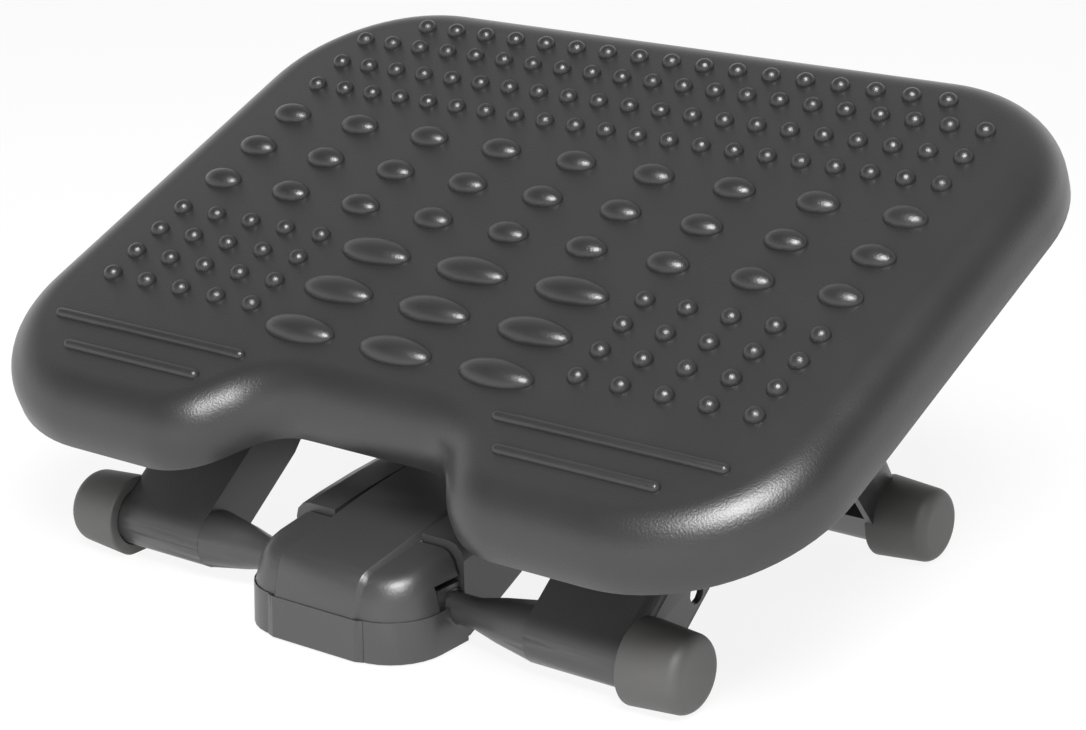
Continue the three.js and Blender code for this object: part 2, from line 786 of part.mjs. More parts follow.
// A rubber cup pushed over the bar's end, with a narrow flat to stand on
function endCap(y) {
  const round = [];
  for (let i = 0; i <= capSteps; i += 1) {
    const angle = (Math.PI / 2) * (i / capSteps);
    const x = capEnd - capFillet * (1 - Math.cos(angle));
    const radius = capRadius - capFillet * (1 - Math.sin(angle));
    round.push([x, radius]);
  }
  const [bore, mouth] = [stubRadius + fitGap, barRadius + fitGap];
  const [bottom, step] = [stubEnd + fitGap, barEnd + fitGap];
  const cup = turnAcross([
    [capEnd, 0], ...round, [capStart, capRadius], [capStart, mouth], [step, mouth],
    [step, bore], [bottom, bore], [bottom, 0],
  ], roundSides, y, axleHeight);
  const floor = block(
    capStart - cutOverrun, capEnd + cutOverrun, y - capRadius, y + capRadius, -capRadius, 0,
  );
  return cut(cup, floor);
}

addPair(beamGroup, 'front_cap', endCap(-frontAxleReach), capRubber);
addPair(beamGroup, 'rear_cap', endCap(rearAxleReach), capRubber);

// Tilt shaft, with the rings that keep the brackets and legs apart and a cap nut at each end
const shaftBore = shaftRadius + fitGap;
const nutStart = legOuter + fitGap;
const nutEnd = nutStart + shaftNutLength;

function shaftNut() {
  const [shoulder, boreEnd] = [nutEnd - shaftNutLength / 3, shaftEnd + fitGap];
  return turnAcross([
    [nutEnd, 0], [nutEnd, shaftNutRadius / 2], [shoulder, shaftNutRadius],
    [nutStart, shaftNutRadius], [nutStart, shaftBore], [boreEnd, shaftBore], [boreEnd, 0],
  ], pinSides);
}

const shaftGroup = new THREE.Group();
shaftGroup.position.set(0, 0, pivotHeight);
footrest.add(shaftGroup);
addPiece(shaftGroup, 'tilt_shaft', rod(-shaftEnd, shaftEnd, shaftRadius, pinSides), steel);
addPair(
  shaftGroup, 'friction_washer',
  ring(bracketOuter + fitGap, legInner - fitGap, shaftBore, washerRadius, pinSides), bearingPlastic,
);
addPair(
  shaftGroup, 'spacer_ring',
  ring(rearEyeOuter + fitGap, frontEyeInner - fitGap, shaftBore, washerRadius, pinSides),
  bearingPlastic,
);
addPair(shaftGroup, 'shaft_nut', shaftNut(), steel);

// Centre beam

// The beam's side view from the crown down past the floor, lowered and lengthened as asked
function crownOutline(drop, extra) {
  const shape = new THREE.Shape();
  const under = -beamShoulder - extra;
  shape.moveTo(beamFront - extra, under);
  shape.lineTo(beamRear + extra, under);
  shape.lineTo(beamRear + extra, beamRearTop - drop);
  shape.quadraticCurveTo(
    beamCrownPlace, beamCrownTop - drop, beamFront - extra, beamFrontTop - drop,
  );
  return shape;
}

// What is left of it once its ends and the arch under it are cut
function beamTrim(front, rear) {
  const shape = new THREE.Shape();
  const top = beamCrownTop + cutOverrun;
  shape.moveTo(front, top);
  shape.lineTo(front, beamFloorGap);
  shape.lineTo(archStart, beamFloorGap);
  shape.lineTo(archStart + archBendRun, beamFloorGap + archBendRise);
  shape.quadraticCurveTo(archCrownPlace, archCrown, archEnd, beamFloorGap);
  shape.lineTo(rear, beamFloorGap);
  shape.lineTo(rear, top);
  return shape;
}

const beamSkin = extrudeAcross(
  crownOutline(0, beamShoulder + endCapThickness + fitGap), -beamHalfWidth, beamHalfWidth,
  beamShoulder, shoulderSteps, crownSteps,
);
const beamCore = extrudeAcross(
  crownOutline(beamWall, beamShoulder + cutOverrun), -beamInnerHalfWidth, beamInnerHalfWidth,
  beamShoulder - beamWall, shoulderSteps, crownSteps,
);

// The same block on the right or, turned about the middle, on the left
function mirrorBlock(side, near, far, ...rest) {
  return block(Math.min(side * near, side * far), Math.max(side * near, side * far), ...rest);
}

function upright(x, y, radius, z0, z1, sides) {
  return turnUp([[z1, 0], [z1, radius], [z0, radius], [z0, 0]], sides, x, y);
}

// The space under the beam's roof, reaching a little way into it
const cheekRoof = extrudeAcross(
  crownOutline(cheekBite, beamShoulder + cutOverrun), -beamInnerHalfWidth, beamInnerHalfWidth,
);
const bushEnd = bushStart + bushLength + fitGap;
const trayTop = noseSeam - fitGap;
const trayFloor = noseFloorGap + noseWall;
const baseTop = beamFloorGap + slideBaseThickness;
const baseScrewX = insideBeam - beamBossRadius - fitGap;
const baseScrewY = beamRear - endCapPlug - beamBossRadius - fitGap;

function spineBeam() {
  const crown = beamCrownTop;
  const trim = extrudeAcross(
    beamTrim(beamFront, beamRear), -beamHalfWidth, beamHalfWidth, 0, 0, crownSteps,
  );
  const shell = cut(beamSkin.intersect(trim), beamCore);
  const inBeam = (solid) => solid.intersect(beamSkin);
  const bosses = [-1, 1].flatMap((side) => [
    inBeam(upright(side * trayScrewPlaceX, trayScrewPlaceY, beamBossRadius, trayFloor + fitGap,
      crown, pinSides)),
    inBeam(upright(side * baseScrewX, baseScrewY, beamBossRadius, baseTop + fitGap, crown, pinSides)),
  ]);
  const cheekNear = pedalRibOuter + pinCheekGap;
  const cheeks = [-1, 1].map((side) => cheekRoof.intersect(mirrorBlock(
    side, cheekNear, cheekNear + pinCheekWidth, pedalPivotPlace - pedalBossRadius,
    pedalPivotPlace + pinCheekRear, pedalPivotHeight - pedalBossRadius, crown,
  )));
  const saddles = [-1, 1].map((side) => mirrorBlock(
    side, bushStart, noseHalfWidth - trayLip - pedalWall - 2 * fitGap,
    -frontAxleReach - saddleHalfDepth, beamFront + beamWall, axleHeight + fitGap, saddleCoverTop,
  ));
  const bulkheads = [-1, 1].map((side) => inBeam(mirrorBlock(
    side, pedalHalfWidth, beamInnerHalfWidth, beamFront, beamFront + beamWall, noseSeam, crown,
  )));
  const slot = block(
    -pedalHalfWidth - fitGap, pedalHalfWidth + fitGap, beamFront - cutOverrun,
    pedalEndPlace + cutOverrun, pedalPivotHeight - pedalBossRadius, crown,
  );
  const frontBores = [
    rod(-bushEnd, bushEnd, bushBore, pinSides, -frontAxleReach, axleHeight),
    rod(
      -beamHalfWidth - cutOverrun, beamHalfWidth + cutOverrun, journalRadius + fitGap, pinSides,
      -frontAxleReach, axleHeight,
    ),
  ];
  const slideSlot = new THREE.Shape();
  const slotRadius = journalRadius + 2 * fitGap;
  slideSlot.absarc(rearAxleReach + sliderTravel, axleHeight, slotRadius, -Math.PI / 2, Math.PI / 2);
  slideSlot.absarc(rearAxleReach, axleHeight, slotRadius, Math.PI / 2, 1.5 * Math.PI);
  const slots = extrudeAcross(
    slideSlot, -beamHalfWidth - cutOverrun, beamHalfWidth + cutOverrun,
  );
  const pinHole = rod(-pinEnd, pinEnd, pinRadius + fitGap, screwSides, pedalPivotPlace,
    pedalPivotHeight);
  const pilots = [-1, 1].flatMap((side) => [
    upright(side * trayScrewPlaceX, trayScrewPlaceY, screwRadius + fitGap, 0,
      trayFloor + screwLength, screwSides),
    upright(side * baseScrewX, baseScrewY, screwRadius + fitGap, 0, baseTop + screwLength,
      screwSides),
  ]);
  const body = cut(join(shell, ...bosses, ...saddles, ...bulkheads), slot);
  return cut(join(body, ...cheeks), ...frontBores, slots, pinHole, ...pilots);
}

addPiece(beamGroup, 'spine_beam', spineBeam(), framePlastic);

function beamEndCap() {
  const [start, end] = [beamRear + fitGap, beamRear + fitGap + endCapThickness];
  const box = block(-beamHalfWidth, beamHalfWidth, start, end, beamFloorGap, beamCrownTop);
  const plug = beamCore.intersect(block(
    -insideBeam, insideBeam, beamRear - endCapPlug, start + endCapThickness / 2,
    baseTop + fitGap, beamRearTop - beamWall - 2 * fitGap,
  ));
  return join(beamSkin.intersect(box), plug);
}

addPiece(beamGroup, 'beam_end_cap', beamEndCap(), framePlastic);

function slideBase() {
  const plate = block(
    -insideBeam, insideBeam, slideBaseFront, beamRear - fitGap, beamFloorGap, baseTop,
  );
  const arch = extrudeAcross(beamTrim(beamFront, beamRear), -insideBeam, insideBeam, 0, 0, crownSteps);
  const holes = [-1, 1].map((side) => upright(
    side * baseScrewX, baseScrewY, screwRadius + fitGap, 0, baseTop + cutOverrun, screwSides,
  ));
  const sinks = [-1, 1].map((side) => upright(
    side * baseScrewX, baseScrewY, screwHeadRadius + fitGap, 0, beamFloorGap + screwSink,
    screwSides,
  ));
  return cut(plate.intersect(arch), ...holes, ...sinks);
}

addPiece(beamGroup, 'slide_base', slideBase(), framePlastic);
addPair(
  beamGroup, 'base_screw',
  screw(baseScrewX, baseScrewY, beamFloorGap + screwSink), steel,
);

// Nose tray, with saddles for the front bushes
function noseOutline(halfWidth, front, rear, corner) {
  const shape = new THREE.Shape();
  shape.moveTo(halfWidth, rear);
  shape.lineTo(-halfWidth, rear);
  shape.absarc(-halfWidth + corner, front + corner, corner, Math.PI, 1.5 * Math.PI, false);
  shape.absarc(halfWidth - corner, front + corner, corner, 1.5 * Math.PI, 2 * Math.PI, false);
  return shape;
}

const noseRear = beamFront - fitGap;

function insetNose(inset, rear) {
  return noseOutline(noseHalfWidth - inset, noseFront + inset, rear, noseCorner - inset);
}

function noseTray() {
  const shell = extrudeUp(insetNose(0, noseRear), noseFloorGap, trayTop);
  const pad = extrudeUp(polygon([
    [-nosePadHalfWidth, noseFront + noseWall], [-nosePadHalfWidth - nosePadProud, noseFront],
    [-nosePadFace, noseFront - nosePadProud], [nosePadFace, noseFront - nosePadProud],
    [nosePadHalfWidth + nosePadProud, noseFront], [nosePadHalfWidth, noseFront + noseWall],
  ]), noseFloorGap, trayTop);
  const rearOpen = noseRear + cutOverrun;
  const hollow = extrudeUp(insetNose(noseWall, rearOpen), trayFloor, trayTop + cutOverrun);
  const mouth = extrudeUp(insetNose(trayLip, rearOpen), trayTop - trayLipDepth, trayTop + cutOverrun);
  const tailHalfWidth = trayScrewPlaceX + beamBossRadius;
  const tail = block(
    -tailHalfWidth, tailHalfWidth, noseRear - noseWall, trayRear, noseFloorGap, trayFloor,
  );
  const saddles = [-1, 1].map((side) => mirrorBlock(
    side, bushStart, noseHalfWidth - noseWall / 2,
    -frontAxleReach - saddleHalfDepth, noseRear, trayFloor - noseWall / 2, axleHeight,
  ));
  const bushCut = rod(-bushEnd, bushEnd, bushBore, pinSides, -frontAxleReach, axleHeight);
  const journalSlot = block(
    -noseHalfWidth - cutOverrun, noseHalfWidth + cutOverrun,
    -frontAxleReach - journalRadius - fitGap, -frontAxleReach + journalRadius + fitGap,
    axleHeight, trayTop + cutOverrun,
  );
  const journalCut = rod(
    -noseHalfWidth - cutOverrun, noseHalfWidth + cutOverrun, journalRadius + fitGap, pinSides,
    -frontAxleReach, axleHeight,
  );
  const seat = upright(0, springPlace, springSeatRadius, trayFloor - noseWall / 2,
    trayFloor + springSeatHeight, pinSides);
  const holes = [-1, 1].flatMap((side) => [
    upright(side * trayScrewPlaceX, trayScrewPlaceY, screwRadius + fitGap, 0,
      trayFloor + cutOverrun, screwSides),
    upright(side * trayScrewPlaceX, trayScrewPlaceY, screwHeadRadius + fitGap, 0,
      noseFloorGap + screwSink, screwSides),
  ]);
  const padMouth = block(
    -pedalHalfWidth - fitGap, pedalHalfWidth + fitGap, noseFront - nosePadProud + trayLip,
    noseFront + noseWall, trayTop - trayLipDepth, trayTop + cutOverrun,
  );
  const open = cut(join(shell, pad), hollow, mouth, padMouth);
  return cut(join(open, tail, ...saddles, seat), bushCut, journalSlot, journalCut, ...holes);
}

addPiece(beamGroup, 'nose_tray', noseTray(), framePlastic);
addPair(
  beamGroup, 'tray_screw',
  screw(trayScrewPlaceX, trayScrewPlaceY, noseFloorGap + screwSink), steel,
);
addPair(
  beamGroup, 'front_bush',
  ring(bushStart, bushStart + bushLength, journalRadius + fitGap, bushRadius, pinSides,
    -frontAxleReach, axleHeight),
  bearingPlastic,
);

// Foot pedal: the upper nose, the strip over the beam, and a tail that holds the brake shoe

// The height of the beam's crown curve at a place along it
function crownHeight(y) {
  const bend = beamFront - 2 * beamCrownPlace + beamRear;
  const lead = 2 * (beamCrownPlace - beamFront);
  const t = (-lead + Math.sqrt(lead * lead + 4 * bend * (y - beamFront))) / (2 * bend);
  return beamFrontTop * (1 - t) ** 2 + 2 * beamCrownTop * t * (1 - t) + beamRearTop * t ** 2;
}

const pedalInset = trayLip + fitGap;
const pedalRear = beamFront - pedalRearGap;
const pedalFront = noseFront - nosePadProud + pedalInset;

// The nose as a soft-topped body that rises to the rear, drawn in by a wall
function pedalNose(wall, rear, bottom) {
  const insetShares = [1, 0.72, 0.44, 0.22, 0];
  const heightShares = [1, 0.95, 0.8, 0.5, 0];
  const [inset, top] = [pedalInset + wall, pedalLobeTop - wall];
  const ringAt = (extra, z, slope) => insetNose(inset + extra, rear)
    .getPoints(noseCurveSteps)
    .map(({ x, y }) => new THREE.Vector3(x, y, z + slope * (y - noseFront)));
  const rings = insetShares.map((share, i) => ringAt(
    pedalLobeRound * share, noseSeam + (top - noseSeam) * heightShares[i],
    pedalLobeSlope * heightShares[i],
  ));
  return loft([...rings, ringAt(0, bottom, 0)]);
}

// The top line of the strip: up the leaning front, round over the nose, then along the beam's crown
function stripTopLine(drop) {
  const front = pedalFront + drop;
  const base = new THREE.Vector2(front, noseSeam);
  const corner = new THREE.Vector2(front + pedalNoseLean, pedalStripFrontTop - drop);
  const crest = new THREE.Vector2(pedalStripBreakPlace, pedalStripBreakTop - drop);
  const towards = (end) => end.clone().sub(corner).setLength(pedalStripRoll).add(corner);
  const roll = new THREE.QuadraticBezierCurve(towards(base), corner, towards(crest));
  const line = [
    [front, noseSeam - pedalSkirtDepth], [front, noseSeam],
    ...roll.getPoints(stripRollSteps).map(({ x, y }) => [x, y]),
    [crest.x, crest.y],
  ];
  for (let i = 0; i <= stripTopSteps; i += 1) {
    const y = beamFront + ((pedalEndPlace - beamFront) * i) / stripTopSteps;
    line.push([y, crownHeight(y) + pedalProud - drop]);
  }
  return line;
}

function pedalStrip() {
  const endBottom = crownHeight(pedalEndPlace) + pedalProud - pedalStripDepth;
  const outer = extrudeAcross(polygon([
    ...stripTopLine(0),
    [pedalEndPlace, endBottom],
    [beamFront, crownHeight(beamFront) + pedalProud - pedalStripDepth],
    [pedalRear, noseSeam - pedalSkirtDepth],
  ]), -pedalHalfWidth, pedalHalfWidth, pedalStripBevel, 1);
  const inner = extrudeAcross(polygon([
    ...stripTopLine(pedalWall), [pedalEndPlace, 0], [pedalFront + pedalWall, 0],
  ]), -pedalHalfWidth + pedalWall, pedalHalfWidth - pedalWall);
  return { outer, inner };
}

const tailBottom = pedalTailTop - pedalTailDepth;
const stripFrontEdge = pedalFront + pedalNoseLean;
const stripRise = (pedalStripBreakTop - pedalStripFrontTop) / (pedalStripBreakPlace - stripFrontEdge);
const springFrontEdge = springPlace - springRadius - springWire;
const springCeiling = (
  pedalStripFrontTop + stripRise * (springFrontEdge - stripFrontEdge) - pedalWall
);
const shoeSeat = tailBottom - fitGap;

function pedalLever() {
  const barrel = rod(
    -pedalRibOuter, pedalRibOuter, pedalBossRadius, pinSides, pedalPivotPlace, pedalPivotHeight,
  );
  const aboveRib = polygon([
    [pedalPivotPlace, pedalPivotHeight - pedalBossRadius], [pedalPivotPlace, beamCrownTop],
    [pedalFront, beamCrownTop], [pedalFront, pedalRibFrontBottom],
  ]);
  const underStrip = polygon([
    ...stripTopLine(pedalWall / 2), [pedalEndPlace, 0], [pedalFront + pedalWall / 2, 0],
  ]);
  const ribInner = pedalRibOuter - pedalRibWidth;
  const ribs = [[ribInner, pedalRibOuter], [-pedalRibOuter, -ribInner]].map(([x0, x1]) => (
    extrudeAcross(aboveRib, x0, x1).intersect(extrudeAcross(underStrip, x0, x1))
  ));
  const tail = block(
    -pedalTailHalfWidth, pedalTailHalfWidth, pedalPivotPlace, pedalTailEnd, tailBottom, pedalTailTop,
  );
  return join(barrel, tail, ...ribs);
}

function footPedal() {
  const skirt = noseSeam - pedalSkirtDepth;
  const strip = pedalStrip();
  const cavity = pedalNose(pedalWall, pedalRear + cutOverrun, skirt - cutOverrun);
  const shell = cut(join(pedalNose(0, pedalRear, skirt), strip.outer), cavity, strip.inner);
  const arch = block(
    -noseHalfWidth, noseHalfWidth,
    -frontAxleReach - saddleHalfDepth - pedalArchMargin, pedalRear + cutOverrun, 0, pedalArchTop,
  );
  const seat = upright(
    0, springPlace, springSeatRadius, springCeiling - springSeatHeight, springCeiling + pedalWall / 2,
    pinSides,
  );
  const pinBore = rod(
    -pinEnd, pinEnd, pinRadius + fitGap, screwSides, pedalPivotPlace, pedalPivotHeight,
  );
  const hole = upright(
    0, shoeScrewPlace, screwRadius + fitGap, tailBottom - cutOverrun, pedalTailTop + cutOverrun,
    screwSides,
  );
  const sink = upright(
    0, shoeScrewPlace, screwHeadRadius + fitGap, pedalTailTop - screwHeadHeight / 2,
    pedalTailTop + cutOverrun, screwSides,
  );
  return cut(join(cut(shell, arch), seat, pedalLever()), pinBore, hole, sink);
}

addPiece(beamGroup, 'foot_pedal', footPedal(), framePlastic);
addPiece(
  beamGroup, 'pedal_pin',
  rod(-pinEnd, pinEnd, pinRadius, screwSides, pedalPivotPlace, pedalPivotHeight), steel,
);

// Brake shoe, cupped round the end of the pedal's tail
function brakeShoe() {
  const [front, rear] = [shoeFront, pedalTailEnd + fitGap + shoeLip];
  const outer = pedalTailHalfWidth + fitGap + shoeLip;
  const body = block(-outer, outer, front, rear, stripTop + fitGap, tailBottom + pedalTailDepth / 2);
  const cup = block(
    -pedalTailHalfWidth - fitGap, pedalTailHalfWidth + fitGap, front - cutOverrun,
    pedalTailEnd + fitGap, shoeSeat, pedalTailTop,
  );
  const pilot = upright(
    0, shoeScrewPlace, screwRadius + fitGap, shoeSeat - shoeScrewLength, shoeSeat + cutOverrun,
    screwSides,
  );
  return cut(body, cup, pilot);
}

addPiece(beamGroup, 'brake_shoe', brakeShoe(), capRubber);

const shoeScrewTop = pedalTailTop + screwHeadHeight / 2;
addPiece(beamGroup, 'shoe_screw', turnUp([
  [shoeScrewTop, 0], [shoeScrewTop, screwHeadRadius / 2],
  [shoeScrewTop - screwHeadHeight / 2, screwHeadRadius],
  [shoeScrewTop - screwHeadHeight + fitGap, screwHeadRadius],
  [shoeScrewTop - screwHeadHeight + fitGap, screwRadius],
  [shoeScrewTop - shoeScrewLength, screwRadius], [shoeScrewTop - shoeScrewLength, 0],
], screwSides, 0, shoeScrewPlace), steel);

// Return spring: one helix of wire between the tray and the pedal
class SpringCurve extends THREE.Curve {
  getPoint(t, target = new THREE.Vector3()) {
    const angle = 2 * Math.PI * springTurns * t;
    const low = trayFloor + springWire + fitGap;
    const high = springCeiling - springWire - fitGap;
    return target.set(
      springRadius * Math.cos(angle),
      springPlace + springRadius * Math.sin(angle),
      low + (high - low) * t,
    );
  }
}

function returnSpring() {
  const wire = new THREE.Shape();
  wire.absarc(0, 0, springWire, 0, 2 * Math.PI, false);
  return solidOf(new THREE.ExtrudeGeometry(wire, {
    steps: springTurns * springStepsPerTurn,
    curveSegments: springWireSteps,
    extrudePath: new SpringCurve(),
  }));
}

addPiece(beamGroup, 'pedal_spring', returnSpring(), steel);

// Height slider, with a bar that runs forward under the brake shoe
const sliderBottom = baseTop + fitGap;

function heightSlider() {
  const [front, rear] = [rearAxleReach - sliderHalfDepth, rearAxleReach + sliderHalfDepth];
  const body = block(-sliderHalfWidth, sliderHalfWidth, front, rear, sliderBottom, sliderTop);
  const wings = block(-insideBeam, insideBeam, front, rear, sliderBottom, sliderWingTop);
  const bar = block(
    -sliderBarHalfWidth, sliderBarHalfWidth, sliderBarFront, rearAxleReach, sliderBarBottom,
    sliderBarTop,
  );
  const bores = [
    rod(-insideBeam, insideBeam, axleRadius + fitGap, pinSides, rearAxleReach, axleHeight),
    ...[-1, 1].flatMap((side) => [
      sideRod(side, rearJournalStart - fitGap, insideBeam, journalRadius + fitGap),
      sideRod(side, sliderHalfWidth - bushLength - fitGap, insideBeam, bushBore),
    ]),
  ];
  const rivetHoles = stripRivetPlaces.map((y) => upright(
    0, y, rivetRadius + fitGap, sliderBarBottom + rivetMargin, sliderBarTop + cutOverrun, screwSides,
  ));
  return cut(join(body, wings, bar), ...bores, ...rivetHoles);
}

function sideRod(side, near, far, radius) {
  return rod(
    Math.min(side * near, side * far), Math.max(side * near, side * far), radius, pinSides,
    rearAxleReach, axleHeight,
  );
}

function slideStrip() {
  const plate = block(
    -stripHalfWidth, stripHalfWidth, sliderBarFront, stripRear, sliderBarTop + fitGap, stripTop,
  );
  const holes = stripRivetPlaces.map((y) => upright(
    0, y, rivetRadius + fitGap, sliderBarTop, stripTop + cutOverrun, screwSides,
  ));
  return cut(plate, ...holes);
}

function stripRivet(y) {
  const head = stripTop + fitGap;
  const end = sliderBarBottom + rivetMargin + fitGap;
  return turnUp([
    [head + rivetHeadHeight, 0], [head + rivetHeadHeight, rivetHeadRadius / 2],
    [head, rivetHeadRadius], [head, rivetRadius], [end, rivetRadius], [end, 0],
  ], screwSides, 0, y);
}

addPiece(beamGroup, 'height_slider', heightSlider(), bearingPlastic);
addPiece(beamGroup, 'slide_strip', slideStrip(), steel);
stripRivetPlaces.forEach((y, i) => {
  addPiece(beamGroup, `strip_rivet_${['front', 'rear'][i]}`, stripRivet(y), steel);
});
addPair(
  beamGroup, 'rear_bush',
  ring(sliderHalfWidth - bushLength, sliderHalfWidth, journalRadius + fitGap, bushRadius, pinSides,
    rearAxleReach, axleHeight),
  bearingPlastic,
);

// The origin goes on the floor under the middle of the whole object
footrest.updateMatrixWorld(true);
const whole = new THREE.Box3().setFromObject(footrest, true);
footrest.position.y = -(whole.min.y + whole.max.y) / 2;

export default footrest;
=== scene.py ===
# %% [markdown]
# # A tilting footrest in moulded plastic
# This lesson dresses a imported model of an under-desk footrest. The frame holds every part at its
# real size and moves it. Here each moulding that shows gets soft edges, smooth curves and a
# finish. Nearly all of it is charcoal plastic, so the lesson is about edges, gloss and grain: on a
# dark moulding the eye reads the shape from its highlights alone.

# %% Load the frame
import json
import math

import bmesh
import bpy
from mathutils import Matrix, Vector

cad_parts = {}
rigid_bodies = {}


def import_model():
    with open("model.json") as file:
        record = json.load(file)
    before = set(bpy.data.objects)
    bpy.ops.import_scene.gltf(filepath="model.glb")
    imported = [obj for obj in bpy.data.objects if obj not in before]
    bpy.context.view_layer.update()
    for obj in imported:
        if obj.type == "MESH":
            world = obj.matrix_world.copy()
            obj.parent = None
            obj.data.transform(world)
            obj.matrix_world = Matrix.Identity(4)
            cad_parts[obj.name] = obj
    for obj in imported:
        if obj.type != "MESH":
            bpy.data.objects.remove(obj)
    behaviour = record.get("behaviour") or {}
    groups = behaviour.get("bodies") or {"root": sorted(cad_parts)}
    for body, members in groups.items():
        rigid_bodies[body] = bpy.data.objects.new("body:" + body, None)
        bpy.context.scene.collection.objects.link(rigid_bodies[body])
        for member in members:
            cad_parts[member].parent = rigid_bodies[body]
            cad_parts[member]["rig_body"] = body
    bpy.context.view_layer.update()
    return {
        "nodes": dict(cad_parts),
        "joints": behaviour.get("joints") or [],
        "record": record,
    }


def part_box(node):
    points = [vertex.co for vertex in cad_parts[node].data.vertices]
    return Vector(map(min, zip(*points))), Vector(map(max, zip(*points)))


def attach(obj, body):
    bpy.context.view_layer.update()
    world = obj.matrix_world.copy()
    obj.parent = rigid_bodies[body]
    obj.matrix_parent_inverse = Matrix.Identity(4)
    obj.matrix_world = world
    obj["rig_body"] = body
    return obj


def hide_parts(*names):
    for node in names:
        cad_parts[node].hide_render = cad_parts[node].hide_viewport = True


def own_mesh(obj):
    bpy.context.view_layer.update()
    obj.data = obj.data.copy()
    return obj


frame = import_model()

joints = {joint["name"]: joint for joint in frame["joints"]}

# %% [markdown]
# ## The camera
# The photograph was taken with a long lens from the front right, a little above the platform.
# The place and the turn of the camera were solved from the bars on the floor and the rows of
# bumps, so the picture's centre needs no shift.

# %% Camera
camera_place = (0.7869, -1.0184, 0.5212)
camera_turn_degrees = (71.415, 1.116, 36.982)
lens_mm = 95.4
sensor_width_mm = 36


def add_camera():
    data = bpy.data.cameras.new("camera")
    data.lens = lens_mm
    data.sensor_width = sensor_width_mm
    camera = bpy.data.objects.new("camera", data)
    camera.location = camera_place
    camera.rotation_euler = [math.radians(angle) for angle in camera_turn_degrees]
    bpy.context.scene.collection.objects.link(camera)
    bpy.context.scene.camera = camera


add_camera()
print("camera at", camera_place)

# %% [markdown]
# ## The studio
# The object was photographed on white, so most of what its lower parts mirror is white floor. A
# floor lit by lamps alone would come out grey, so part of its white is added only for rays that
# come from the camera, a gloss or a glass: the Light Path node tells them apart. The rest is lit
# as usual, which keeps the shadow.

# %% Floor
floor_size = 30
floor_shade = 0.86
floor_roughness = 0.9
floor_specular = 0.1
floor_white_share = 0.88


def seen_or_mirrored(nodes, links):
    """1 for rays that come from the camera or from a mirror or glass, and 0 for all others."""
    rays = nodes.new("ShaderNodeLightPath")
    seen = rays.outputs["Is Camera Ray"]
    for name in ("Is Glossy Ray", "Is Transmission Ray"):
        larger = nodes.new("ShaderNodeMath")
        larger.operation = "MAXIMUM"
        links.new(seen, larger.inputs[0])
        links.new(rays.outputs[name], larger.inputs[1])
        seen = larger.outputs[0]
    return seen


def floor_material():
    material = bpy.data.materials.new("floor")
    material.use_nodes = True
    nodes, links = material.node_tree.nodes, material.node_tree.links
    shader = nodes["Principled BSDF"]
    shader.inputs["Base Color"].default_value = (floor_shade, floor_shade, floor_shade, 1)
    shader.inputs["Roughness"].default_value = floor_roughness
    shader.inputs["Specular IOR Level"].default_value = floor_specular
    share = nodes.new("ShaderNodeMath")
    share.operation = "MULTIPLY"
    share.inputs[1].default_value = floor_white_share
    links.new(seen_or_mirrored(nodes, links), share.inputs[0])
    white = nodes.new("ShaderNodeEmission")
    mix = nodes.new("ShaderNodeMixShader")
    links.new(share.outputs[0], mix.inputs["Fac"])
    links.new(shader.outputs[0], mix.inputs[1])
    links.new(white.outputs[0], mix.inputs[2])
    links.new(mix.outputs[0], nodes["Material Output"].inputs["Surface"])
    return material


def add_floor():
    bm = bmesh.new()
    bmesh.ops.create_grid(bm, x_segments=1, y_segments=1, size=floor_size / 2)
    mesh = bpy.data.meshes.new("floor")
    bm.to_mesh(mesh)
    bm.free()
    mesh.materials.append(floor_material())
    floor = bpy.data.objects.new("floor", mesh)
    bpy.context.scene.collection.objects.link(floor)


add_floor()
print("floor reaches", floor_size / 2, "m each way")

# %% [markdown]
# ## The light of the room
# A flat gloss mirrors what stands behind it, and the near side of a bump mirrors what is above
# and behind the camera. So the world is bright round the horizon, has a tall lit sweep behind the
# object, and is dark overhead: the deck comes out grey, and the bumps get dark near sides and
# soft highlights. One ramp falls off with height, the other runs from front to back, and their
# sum lights the scene.

# %% World
behind_direction = (-0.35, 0.94)
horizon_light = 1.1
zenith_light = 0.03
horizon_full = 0.06
horizon_top = 0.6
sweep_light = 0.32
sweep_start = 0.57
sweep_full = 0.74
ramp_middle = 0.5


def add_ramp(nodes, stops):
    """A colour ramp with these stops only: a position and a shade of grey each."""
    ramp = nodes.new("ShaderNodeValToRGB")
    elements = ramp.color_ramp.elements
    for position, shade in stops:
        elements.new(position).color = (shade, shade, shade, 1)
    elements.remove(elements[0])
    elements.remove(elements[-1])
    return ramp


def add_world():
    world = bpy.data.worlds.new("studio")
    bpy.context.scene.world = world
    world.use_nodes = True
    nodes, links = world.node_tree.nodes, world.node_tree.links
    place = nodes.new("ShaderNodeTexCoord")
    split = nodes.new("ShaderNodeSeparateXYZ")
    links.new(place.outputs["Generated"], split.inputs[0])
    height = add_ramp(nodes, ((horizon_full, horizon_light), (horizon_top, zenith_light)))
    links.new(split.outputs["Z"], height.inputs[0])
    along = nodes.new("ShaderNodeVectorMath")
    along.operation = "DOT_PRODUCT"
    half_direction = [part * ramp_middle for part in behind_direction]
    along.inputs[1].default_value = (*half_direction, 0)
    links.new(place.outputs["Generated"], along.inputs[0])
    centred = nodes.new("ShaderNodeMath")
    centred.operation = "ADD"
    centred.inputs[1].default_value = ramp_middle
    links.new(along.outputs["Value"], centred.inputs[0])
    sweep = add_ramp(nodes, ((sweep_start, 0), (sweep_full, sweep_light)))
    links.new(centred.outputs[0], sweep.inputs[0])
    light = nodes.new("ShaderNodeVectorMath")
    light.operation = "ADD"
    links.new(height.outputs["Color"], light.inputs[0])
    links.new(sweep.outputs["Color"], light.inputs[1])
    links.new(light.outputs["Vector"], nodes["Background"].inputs["Color"])


add_world()
print("world light from", zenith_light, "overhead to", horizon_light, "at the horizon")

